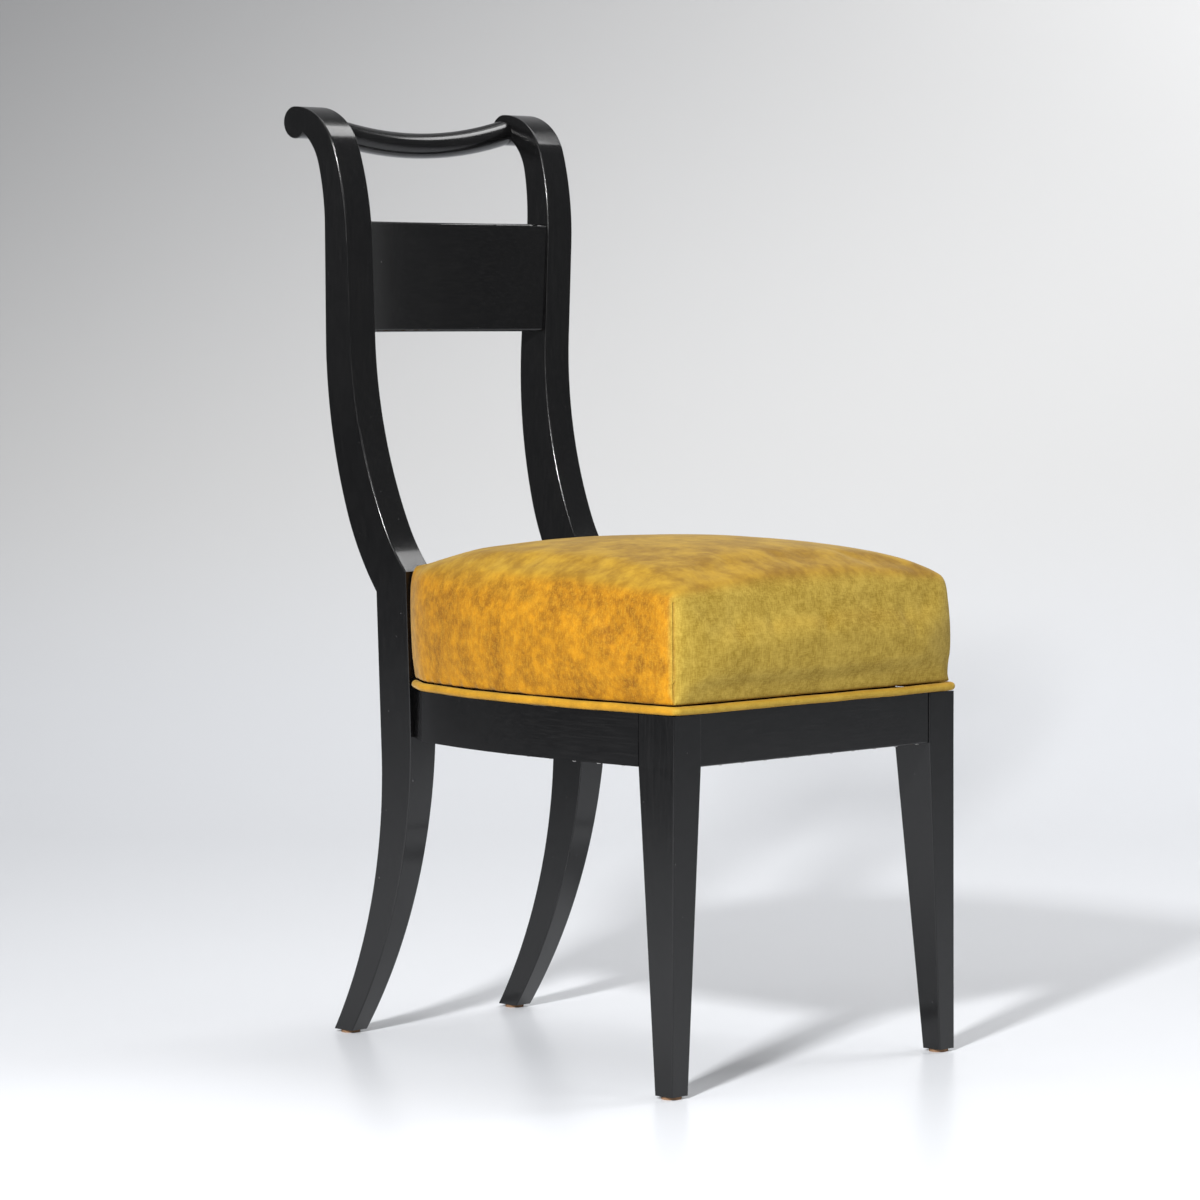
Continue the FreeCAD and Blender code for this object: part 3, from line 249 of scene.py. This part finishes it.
finishes = {
    "upright": lacquer("lacquerUpright", 2), "across": lacquer("lacquerAcross", 0),
    "along": lacquer("lacquerAlong", 1), "bare": bareWood("bareBeech"),
    "steel": steel("tackSteel"), "felt": felt("glideFelt"),
    "velvet": velvet("goldenVelvet"), "piping": velvet("pipingVelvet", False, 0.35),
    "webbing": weave("juteWebbing", (0.22, 0.15, 0.08, 1), (0.52, 0.4, 0.25, 1), 0.0024),
    "hessian": weave("hessianCloth", (0.2, 0.13, 0.06, 1), (0.48, 0.36, 0.2, 1), 0.0018),
    "cambric": weave("blackCambric", (0.008, 0.008, 0.009, 1), (0.035, 0.034, 0.036, 1), 0.0008),
}
finishOfNode = {
    "post": "upright", "leg": "upright", "side_rail": "along", "front_rail": "across",
    "rear_rail": "across", "top_rail": "across", "panel": "across", "corner_block": "bare",
    "screws": "steel", "glide": "felt", "nails": "steel", "strap": "webbing",
    "hessian": "hessian", "dust_cover": "cambric", "piping": "piping",
}
for nodeName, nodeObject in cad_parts.items():
    for word, finish in finishOfNode.items():
        if word in nodeName:
            nodeObject.material_slots[0].material = finishes[finish]
report("frame painted")


# Sizes that the upholstery takes from the frame
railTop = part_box("front_rail")[1][2]
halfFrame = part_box("right_front_leg")[1][0] - 0.002
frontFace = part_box("right_front_leg")[0][1]
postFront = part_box("left_side_rail")[1][1] - 0.018
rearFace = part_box("rear_rail")[1][1]

seatShape = {
    "straight": 0.130, "facetStart": 0.371, "rearHalf": 0.163, "railEnd": 0.136,
    "overhang": 0.0067, "belly": 0.085, "edge": 0.058, "edgeStart": 0.098,
    "cornerLow": 0.0025, "cornerHigh": 0.009, "bow": 0.003,
    "crown": 0.147, "crownRadius": 1.250, "crownBack": 0.190,
    "postInside": 0.1079, "lip": 0.0092, "postGap": 0.0005,
    "steps": 46, "voxel": 0.005, "pressure": 4.0, "swell": 0.006, "shrink": 0.0015,
    "roundsBefore": 16, "roundsAfter": 3, "roundFactor": 0.5, "fill": 0.85,
}


def growthAt(rise):
    shape = seatShape
    swell = shape["overhang"] * (1 - (rise / shape["belly"] - 1) ** 2)
    above = min(max(rise - shape["edgeStart"], 0), shape["edge"] * 0.98)
    return swell - shape["edge"] + math.sqrt(shape["edge"] ** 2 - above ** 2)


def arcPoints(centre, radius, start, end, count):
    angles = [start + (end - start) * step / count for step in range(count)]
    return [(centre[0] + radius * math.cos(a), centre[1] + radius * math.sin(a)) for a in angles]


def linePoints(start, end, count):
    return [(start[0] + (end[0] - start[0]) * step / count, start[1] + (end[1] - start[1]) * step / count)
            for step in range(count)]


def sideBend():
    shape = seatShape
    run, fall = shape["facetStart"] - shape["straight"], halfFrame - shape["rearHalf"]
    return (run ** 2 + fall ** 2) / (2 * fall)


def seatOutline(growth, rise):
    # right half from the middle of the front to the middle of the back, then mirrored
    shape = seatShape
    share = min(max(rise, 0) / shape["belly"], 1)
    corner = shape["cornerLow"] + (shape["cornerHigh"] - shape["cornerLow"]) * share
    bow, side = shape["bow"] * share, halfFrame + growth
    bend = sideBend()
    centre = (halfFrame - bend, shape["straight"])
    turn = math.asin((shape["facetStart"] - shape["straight"]) / bend)
    post = postFront - frontFace - shape["postGap"] + min(growth, 0)
    inside = shape["postInside"] - shape["postGap"] + min(growth, 0)
    facet = (shape["rearHalf"] + 0.9 * growth, shape["facetStart"] + 0.45 * growth)
    slope = (shape["rearHalf"] - shape["railEnd"]) / 0.0382
    postAcross = facet[0] - (post - facet[1]) * slope
    back = rearFace - frontFace + growth
    right = []
    for step in range(24):
        across = (side - corner) * step / 24
        right.append((across, -growth - bow * (1 - (across / (side - corner)) ** 2)))
    right += arcPoints((side - corner, corner - growth), corner, -math.pi / 2, 0, 6)
    right += linePoints((side, corner - growth), (side, shape["straight"]), 14)
    right += arcPoints(centre, bend + growth, 0, turn, 26)
    right += linePoints(facet, (postAcross, post), 6)
    right += linePoints((postAcross, post), (inside, post), 5)
    right += linePoints((inside, post), (inside, back), 6)
    right += linePoints((inside, back), (0, back), 12)
    right.append((0, back))
    left = [(-across, along) for across, along in reversed(right[1:-1])]
    return [Vector((across, along + frontFace, 0)) for across, along in right + left]


def crownHeight(point):
    shape = seatShape
    out = Vector((point.x, point.y - frontFace - shape["crownBack"])).length
    radius = shape["crownRadius"]
    return shape["crown"] - radius + math.sqrt(radius ** 2 - out ** 2)


def closedSkin(name, rings):
    # rings of equal length, closed by a fan at each end
    mesh, work = bpy.data.meshes.new(name), bmesh.new()
    loops = [[work.verts.new(point) for point in ring] for ring in rings]
    count = len(rings[0])
    for lower, upper in zip(loops, loops[1:]):
        for step in range(count):
            after = (step + 1) % count
            work.faces.new((lower[step], lower[after], upper[after], upper[step]))
    for loop, ring in ((loops[0], rings[0]), (loops[-1], rings[-1])):
        middle = work.verts.new(sum(ring, Vector()) / count)
        for step in range(count):
            work.faces.new((loop[step], loop[(step + 1) % count], middle))
    bmesh.ops.recalc_face_normals(work, faces=work.faces)
    work.to_mesh(mesh)
    work.free()
    made = bpy.data.objects.new(name, mesh)
    bpy.context.collection.objects.link(made)
    return made


def settle(piece, finish, smooth=True):
    piece.data.materials.clear()
    piece.data.materials.append(finishes[finish])
    for face in piece.data.polygons:
        face.use_smooth = smooth
    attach(piece, "root")
    return piece


def applyModifiers(piece):
    graph = bpy.context.evaluated_depsgraph_get()
    result = bpy.data.meshes.new_from_object(piece.evaluated_get(graph), depsgraph=graph)
    piece.modifiers.clear()
    piece.data = result
    return piece


def seatRings():
    shape = seatShape
    rings = []
    top = shape["crown"] + 0.004
    for step in range(shape["steps"] + 1):
        rise = shape["lip"] + (top - shape["lip"]) * step / shape["steps"]
        ring = seatOutline(growthAt(rise) - shape["shrink"], rise)
        for point in ring:
            point.z = railTop + rise
        rings.append(ring)
    # above the crown every point comes down on to it, and the last rings close over the middle
    for ring in rings:
        for point in ring:
            point.z = min(point.z, railTop + crownHeight(point) - 0.0001)
    middle = Vector((0, frontFace + shape["crownBack"], 0))
    for share in (0.85, 0.7, 0.55, 0.4, 0.25, 0.12):
        ring = []
        for point in rings[shape["steps"]]:
            inward = middle + (Vector((point.x, point.y, 0)) - middle) * share
            inward.z = railTop + crownHeight(inward)
            ring.append(inward)
        rings.append(ring)
    return rings


clothShape = {"quality": 3, "mass": 0.3, "stiffness": 15, "bending": 0.5, "frames": 20}


def inflate(piece, pressure, pinned):
    shape = clothShape
    group = piece.vertex_groups.new(name="held")
    for vertex in piece.data.vertices:
        group.add([vertex.index], pinned(vertex.co), "REPLACE")
    cloth = piece.modifiers.new("Padding", "CLOTH")
    cloth.settings.quality = shape["quality"]
    cloth.settings.mass = shape["mass"]
    cloth.settings.use_pressure = True
    cloth.settings.uniform_pressure_force = pressure
    cloth.settings.vertex_group_mass = "held"
    cloth.settings.tension_stiffness = shape["stiffness"]
    cloth.settings.compression_stiffness = shape["stiffness"]
    cloth.settings.bending_stiffness = shape["bending"]
    cloth.settings.effector_weights.gravity = 0
    cloth.point_cache.frame_start, cloth.point_cache.frame_end = 1, shape["frames"]
    for step in range(1, shape["frames"] + 1):
        bpy.context.scene.frame_set(step)
    graph = bpy.context.evaluated_depsgraph_get()
    moved = [vertex.co.copy() for vertex in piece.evaluated_get(graph).data.vertices]
    piece.modifiers.clear()
    bpy.context.scene.frame_set(1)
    return moved


def heldShare(place):
    # the cloth is held along its lower edge and where it meets the posts
    low = 1 - min(max((place.z - railTop - 0.010) / 0.02, 0), 1)
    nearPost = 1 - min(max((postFront - 0.004 - place.y) / 0.02, 0), 1)
    return max(low, nearPost)


def smoothed(piece, rounds, factor):
    work = bmesh.new()
    work.from_mesh(piece.data)
    movable = [vertex for vertex in work.verts if heldShare(vertex.co) < 0.9]
    for _ in range(rounds):
        bmesh.ops.smooth_vert(work, verts=movable, factor=factor, use_axis_x=True,
                              use_axis_y=True, use_axis_z=True)
    work.to_mesh(piece.data)
    work.free()


def makeCushion():
    shape = seatShape
    piece = closedSkin("seatCushion", seatRings())
    remesh = piece.modifiers.new("Remesh", "REMESH")
    remesh.mode = "VOXEL"
    remesh.voxel_size = shape["voxel"]
    applyModifiers(piece)
    smoothed(piece, shape["roundsBefore"], shape["roundFactor"])
    before = [vertex.co.copy() for vertex in piece.data.vertices]
    moved = inflate(piece, shape["pressure"], heldShare)
    for vertex, start, end in zip(piece.data.vertices, before, moved):
        step = end - start
        if step.length > shape["swell"]:
            step *= shape["swell"] / step.length
        vertex.co = start + step * (1 - heldShare(start))
    smoothed(piece, shape["roundsAfter"], shape["roundFactor"])
    finer = piece.modifiers.new("Finer", "SUBSURF")
    finer.levels = finer.render_levels = 1
    applyModifiers(piece)
    addSeams(piece)
    settle(piece, "velvet")
    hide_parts("seat_cover", "seat_pad")
    return piece


seamShape = {"topRise": 0.104, "pinch": 0.0011, "reach": 0.0055, "ripple": 0.0009}


def addSeams(piece):
    # the front corners are sewn upright: the cloth dips along them, and a value for the
    # material holds each point's distance from the line
    seam = seamShape
    mesh = piece.data
    normals = [vertex.normal.copy() for vertex in mesh.vertices]
    distances = []
    for vertex, normal in zip(mesh.vertices, normals):
        place = vertex.co.copy()
        rise = place.z - railTop
        growth = growthAt(rise)
        offset = Vector((abs(place.x) - halfFrame - growth, place.y - frontFace + growth))
        sideways = abs(offset.x + offset.y) * math.sqrt(0.5)  # across the corner's diagonal
        distance = math.hypot(sideways, max(rise - seam["topRise"], 0))
        if offset.length > 0.06:
            distance = 1.0
        distances.append(distance)
        if distance < 0.02:
            inward = Vector((-math.copysign(1, place.x), 1, 0)).normalized()
            place += inward * seam["pinch"] * math.exp(-(distance / seam["reach"]) ** 2)
        wave = noise.noise(place * 14) * 0.7 + noise.noise(place * 31) * 0.3
        vertex.co = place + normal * seam["ripple"] * wave * (1 - heldShare(place))
    mesh.attributes.new("seamDistance", "FLOAT", "POINT").data.foreach_set("value", distances)


cushion = makeCushion()
report("cushion sewn")

# Piping: a velvet cord along the cover's lower edge, a little uneven where it was sewn
pipingShape = {"radius": 0.0041, "away": -0.0005, "above": 0.0043, "waver": 0.0005, "sides": 16,
               "bend": 0.040, "cornerRadius": 0.006}


def sweepTube(name, route, radiusAt, sides):
    mesh, work = bpy.data.meshes.new(name), bmesh.new()
    rings = []
    count = len(route)
    for step, place in enumerate(route):
        ahead = (route[min(step + 1, count - 1)] - route[max(step - 1, 0)]).normalized()
        across = ahead.cross(Vector((0, 0, 1))).normalized()
        up = across.cross(ahead).normalized()
        radius = radiusAt(step)
        rings.append([work.verts.new(place + across * radius * math.cos(turn)
                                     + up * radius * math.sin(turn))
                      for turn in (2 * math.pi * side / sides for side in range(sides))])
    for lower, upper in zip(rings, rings[1:]):
        for side in range(sides):
            after = (side + 1) % sides
            work.faces.new((lower[side], lower[after], upper[after], upper[side]))
    work.faces.new(rings[0])
    work.faces.new(rings[-1])
    bmesh.ops.recalc_face_normals(work, faces=work.faces)
    work.to_mesh(mesh)
    work.free()
    made = bpy.data.objects.new(name, mesh)
    bpy.context.collection.objects.link(made)
    return made


def evenRoute(points, pitch):
    # resamples a chain of points at an even pitch
    route, carried = [points[0].copy()], 0.0
    for start, end in zip(points, points[1:]):
        span = (end - start).length
        while carried + span >= pitch:
            share = (pitch - carried) / span
            start = start + (end - start) * share
            span *= 1 - share
            carried = 0.0
            route.append(start.copy())
        carried += span
    if (points[-1] - route[-1]).length > pitch * 0.3:
        route.append(points[-1].copy())
    return route


def pipingRoute():
    shape, cord = seatShape, pipingShape
    away, corner, smooth = cord["away"], cord["cornerRadius"], cord["bend"]
    side, bend = halfFrame + away, sideBend()
    centre = Vector((halfFrame - bend, shape["straight"]))
    facetAlong = Vector((shape["railEnd"] - shape["rearHalf"], 0.0382)).normalized()
    outward = Vector((facetAlong.y, -facetAlong.x))
    start = Vector((shape["rearHalf"], shape["facetStart"])) + outward * (away - smooth)
    reach = (start - centre).dot(facetAlong)
    turn = start + facetAlong * (-reach - math.sqrt(
        reach ** 2 - (start - centre).length ** 2 + (bend + away - smooth) ** 2))
    firstAngle = math.atan2(*reversed((turn - centre).normalized()))
    secondAngle = math.atan2(outward.y, outward.x)
    last = postFront - frontFace - 0.0003 - cord["radius"] * abs(facetAlong.x)
    meet = turn + outward * smooth
    end = meet + facetAlong * ((last - meet.y) / facetAlong.y)
    half = linePoints((0, -away), (side - corner, -away), 30)
    half += arcPoints((side - corner, corner - away), corner, -math.pi / 2, 0, 6)
    half += linePoints((side, corner - away), (side, shape["straight"]), 10)
    half += arcPoints(centre, bend + away, 0, firstAngle, 30)
    half += arcPoints(turn, smooth, firstAngle, secondAngle, 5)
    half += linePoints(meet, end, 4)
    half.append(tuple(end))
    whole = [(-across, along) for across, along in reversed(half[1:])] + half
    height = railTop + cord["above"]
    return [Vector((across, along + frontFace, height)) for across, along in whole]


def makePiping(name, points, node, seed):
    cord = pipingShape
    route = evenRoute(points, 0.003)
    count = len(route)
    for step, place in enumerate(route):
        waver = noise.noise(Vector((step * 0.055, seed, 0))) * cord["waver"]
        place.z += waver + noise.noise(Vector((step * 0.02, seed + 7, 0))) * cord["waver"]

    def radiusAt(step):
        fromEnd = min(step, count - 1 - step) * 0.003
        rounded = math.sqrt(max(1 - max(1 - fromEnd / cord["radius"], 0) ** 2, 0.05))
        return cord["radius"] * rounded * (0.985 + 0.03 * noise.noise(Vector((step * 0.3, seed, 3))))

    piece = sweepTube(name, route, radiusAt, cord["sides"])
    settle(piece, "piping")
    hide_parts(node)
    return piece


makePiping("frontPiping", pipingRoute(), "seat_piping", 2)
rearLow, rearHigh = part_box("rear_piping")
rearMiddle = [(low + high) / 2 for low, high in zip(rearLow, rearHigh)]
makePiping("backPiping", [Vector((rearLow[0], rearMiddle[1], rearMiddle[2])),
                          Vector((rearHigh[0], rearMiddle[1], rearMiddle[2]))], "rear_piping", 5)
report("piping laid")


# Dust cover: black cambric pulled tight under the rails, with a tack every few centimetres
dustShape = {"inset": 0.0075, "thickness": 0.0006, "sag": 0.003, "steps": 40,
             "tackPitch": 0.032, "tackInset": 0.004, "tackRadius": 0.0024}


def dustOutline():
    # the seat's plan at the rails, held back from their outer edges and from the posts
    ring = seatOutline(-dustShape["inset"], 0)
    low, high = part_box("dust_cover")
    return [Vector((min(max(point.x, low[0]), high[0]), min(max(point.y, low[1]), high[1]), high[2]))
            for point in ring], Vector(((low[0] + high[0]) / 2, (low[1] + high[1]) / 2, high[2]))


def tackGroup():
    # Geometry Nodes: one domed tack on each point of an even route along the edge
    tree = bpy.data.node_groups.new("tacks", "GeometryNodeTree")
    tree.interface.new_socket("Geometry", in_out="INPUT", socket_type="NodeSocketGeometry")
    tree.interface.new_socket("Geometry", in_out="OUTPUT", socket_type="NodeSocketGeometry")
    start, end = tree.nodes.new("NodeGroupInput"), tree.nodes.new("NodeGroupOutput")
    spread = tree.nodes.new("GeometryNodeCurveToPoints")
    spread.mode = "LENGTH"
    spread.inputs["Length"].default_value = dustShape["tackPitch"]
    ball = tree.nodes.new("GeometryNodeMeshUVSphere")
    ball.inputs["Segments"].default_value = 14
    ball.inputs["Rings"].default_value = 8
    ball.inputs["Radius"].default_value = dustShape["tackRadius"]
    placed = tree.nodes.new("GeometryNodeInstanceOnPoints")
    placed.inputs["Scale"].default_value = (1, 1, 0.45)
    real = tree.nodes.new("GeometryNodeRealizeInstances")
    metal = tree.nodes.new("GeometryNodeSetMaterial")
    metal.inputs["Material"].default_value = finishes["steel"]
    links = tree.links
    links.new(start.outputs[0], spread.inputs["Curve"])
    links.new(spread.outputs["Points"], placed.inputs["Points"])
    links.new(ball.outputs["Mesh"], placed.inputs["Instance"])
    links.new(placed.outputs["Instances"], real.inputs["Geometry"])
    links.new(real.outputs["Geometry"], metal.inputs["Geometry"])
    links.new(metal.outputs["Geometry"], end.inputs[0])
    return tree


def makeDustCover():
    shape = dustShape
    ring, middle = dustOutline()
    mesh, work = bpy.data.meshes.new("dustCover"), bmesh.new()
    shares = [1 - step / shape["steps"] for step in range(shape["steps"])]
    loops = []
    for share in shares:
        loop = []
        for point in ring:
            place = middle + (point - middle) * share
            sag = shape["sag"] * (1 - share ** 2) + 0.0006 * noise.noise(place * 22) * (1 - share)
            place.z = middle.z - shape["thickness"] - sag
            loop.append(work.verts.new(place))
        loops.append(loop)
    count = len(ring)
    for outer, inner in zip(loops, loops[1:]):
        for step in range(count):
            after = (step + 1) % count
            work.faces.new((outer[step], outer[after], inner[after], inner[step]))
    centre = work.verts.new(middle - Vector((0, 0, shape["thickness"] + shape["sag"])))
    for step in range(count):
        work.faces.new((loops[-1][step], loops[-1][(step + 1) % count], centre))
    work.to_mesh(mesh)
    area = sum(face.calc_area() for face in work.faces)
    work.free()
    piece = bpy.data.objects.new("dustCover", mesh)
    bpy.context.collection.objects.link(piece)
    thick = piece.modifiers.new("Thickness", "SOLIDIFY")
    thick.thickness = shape["thickness"]
    thick.offset = 0
    applyModifiers(piece)
    settle(piece, "cambric")
    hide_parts("dust_cover")
    tacks = makeTacks(ring, middle)


def makeTacks(ring, middle):
    shape = dustShape
    curve = bpy.data.curves.new("tackRoute", "CURVE")
    curve.dimensions = "3D"
    line = curve.splines.new("POLY")
    line.points.add(len(ring) - 1)
    for point, place in zip(line.points, ring):
        inward = (middle - place).normalized() * shape["tackInset"]
        point.co = (place.x + inward.x, place.y + inward.y,
                    middle.z - shape["thickness"] * 1.6, 1)
    line.use_cyclic_u = True
    route = bpy.data.objects.new("tackRoute", curve)
    bpy.context.collection.objects.link(route)
    holder = route.modifiers.new("Tacks", "NODES")
    holder.node_group = tackGroup()
    graph = bpy.context.evaluated_depsgraph_get()
    mesh = bpy.data.meshes.new_from_object(route.evaluated_get(graph), depsgraph=graph)
    bpy.data.objects.remove(route)
    tacks = bpy.data.objects.new("dustCoverTacks", mesh)
    bpy.context.collection.objects.link(tacks)
    return settle(tacks, "steel")


makeDustCover()
report("dust cover tacked")


# Stage: pale floor and backdrop, soft studio light, the photograph's camera
cameraShape = {"place": (-3.3840, -3.1950, 0.7318), "yaw": 46.572, "pitch": 2.700, "pixels": 4721.3,
               "frame": 1200, "shift": -0.06}


def makeCamera():
    shape = cameraShape
    data = bpy.data.cameras.new("photographCamera")
    data.sensor_width = 36
    data.lens = shape["pixels"] / shape["frame"] * 36
    data.shift_y = shape["shift"]
    data.clip_end = 100
    made = bpy.data.objects.new("photographCamera", data)
    made.location = shape["place"]
    made.rotation_euler = (math.radians(90 - shape["pitch"]), 0, math.radians(-shape["yaw"]))
    bpy.context.collection.objects.link(made)
    bpy.context.scene.camera = made


def areaLight(name, place, target, size, power, colour=(1, 1, 1)):
    data = bpy.data.lights.new(name, "AREA")
    data.shape = "RECTANGLE"
    data.size, data.size_y = size
    data.energy = power
    data.color = colour
    made = bpy.data.objects.new(name, data)
    made.location = place
    made.rotation_euler = (Vector(target) - Vector(place)).to_track_quat("-Z", "Y").to_euler()
    bpy.context.collection.objects.link(made)


studioShape = {"reach": 9.0, "wallAway": 4.2, "curve": 2.4, "height": 6.0,
               "floor": (0.74, 0.755, 0.785, 1), "wall": (0.70, 0.70, 0.70, 1),
               "dark": (0.15, 0.15, 0.155, 1), "paintedShadeShare": 0.85, "leftWeight": 0.55,
               "world": (0.8, 0.82, 0.85, 1), "worldStrength": 0.22}


def makeCyclorama():
    # floor, a round cove and a wall, square to the camera's view
    shape, rows = studioShape, []
    ahead = Vector((math.sin(math.radians(cameraShape["yaw"])),
                    math.cos(math.radians(cameraShape["yaw"])), 0))
    across = Vector((ahead.y, -ahead.x, 0))
    profile = [(-shape["reach"], 0.0), (shape["wallAway"] - shape["curve"], 0.0)]
    for step in range(1, 25):
        turn = math.pi / 2 * step / 24
        profile.append((shape["wallAway"] - shape["curve"] * (1 - math.sin(turn)),
                        shape["curve"] * (1 - math.cos(turn))))
    profile.append((shape["wallAway"], shape["height"]))
    for away, height in profile:
        rows.append([ahead * away + across * side + Vector((0, 0, height))
                     for side in (-shape["reach"], shape["reach"])])
    points = [point for row in rows for point in row]
    faces = [(2 * row, 2 * row + 1, 2 * row + 3, 2 * row + 2) for row in range(len(rows) - 1)]
    mesh = bpy.data.meshes.new("cyclorama")
    mesh.from_pydata(points, [], faces)
    mesh.materials.append(studioPaint(across))
    for face in mesh.polygons:
        face.use_smooth = True
    made = bpy.data.objects.new("cyclorama", mesh)
    bpy.context.collection.objects.link(made)


def studioPaint(across):
    # pale paint, with painted shade that darkens it towards the left and the top of the wall
    shape, shader = studioShape, Shader("studioPaint")
    place = shader.node("ShaderNodeTexCoord", output=3)
    axes = shader.node("ShaderNodeSeparateXYZ", {}, {0: place})
    x, y, z = (Wire(shader, axes.socket.node.outputs[step]) for step in range(3))
    side = x * across.x + y * across.y
    paintedWallShade = shader.ramp(z - side * shape["leftWeight"], 0.1, 2.5)
    colour = shader.mix(shader.ramp(z, 0.0, 0.5), shape["floor"], shape["wall"])
    colour = shader.mix(paintedWallShade * shape["paintedShadeShare"], colour, shape["dark"])
    return shader.finish(Base_Color=colour, Roughness=0.3, Specular_IOR_Level=0.35)


lightShape = {
    "key": {"place": (-2.9, -1.35, 1.95), "target": (0, 0, 0.35), "size": (0.28, 0.28), "power": 190},
    "side": {"place": (-2.6, 0.9, 1.5), "target": (0, 0.1, 0.6), "size": (0.5, 1.8), "power": 9},
    "front": {"place": (1.2, -4.0, 2.8), "target": (0, 0, 0.4), "size": (2.0, 1.6), "power": 24},
    "top": {"place": (0.3, 0.4, 4.2), "target": (0, 0.2, 0), "size": (4, 4), "power": 42},
    "wall": {"place": (2.4, -0.6, 4.5), "target": (3.2, 3.0, 0.9), "size": (3, 2), "power": 120},
}


def makeStage():
    makeCyclorama()
    for name, light in lightShape.items():
        areaLight(name + "Light", light["place"], light["target"], light["size"], light["power"])
    world = bpy.data.worlds.new("studio")
    bpy.context.scene.world = world
    world.use_nodes = True
    background = world.node_tree.nodes["Background"]
    background.inputs["Color"].default_value = studioShape["world"]
    background.inputs["Strength"].default_value = studioShape["worldStrength"]


makeCamera()
makeStage()
bpy.context.scene.view_settings.view_transform = "Standard"
report("stage set")
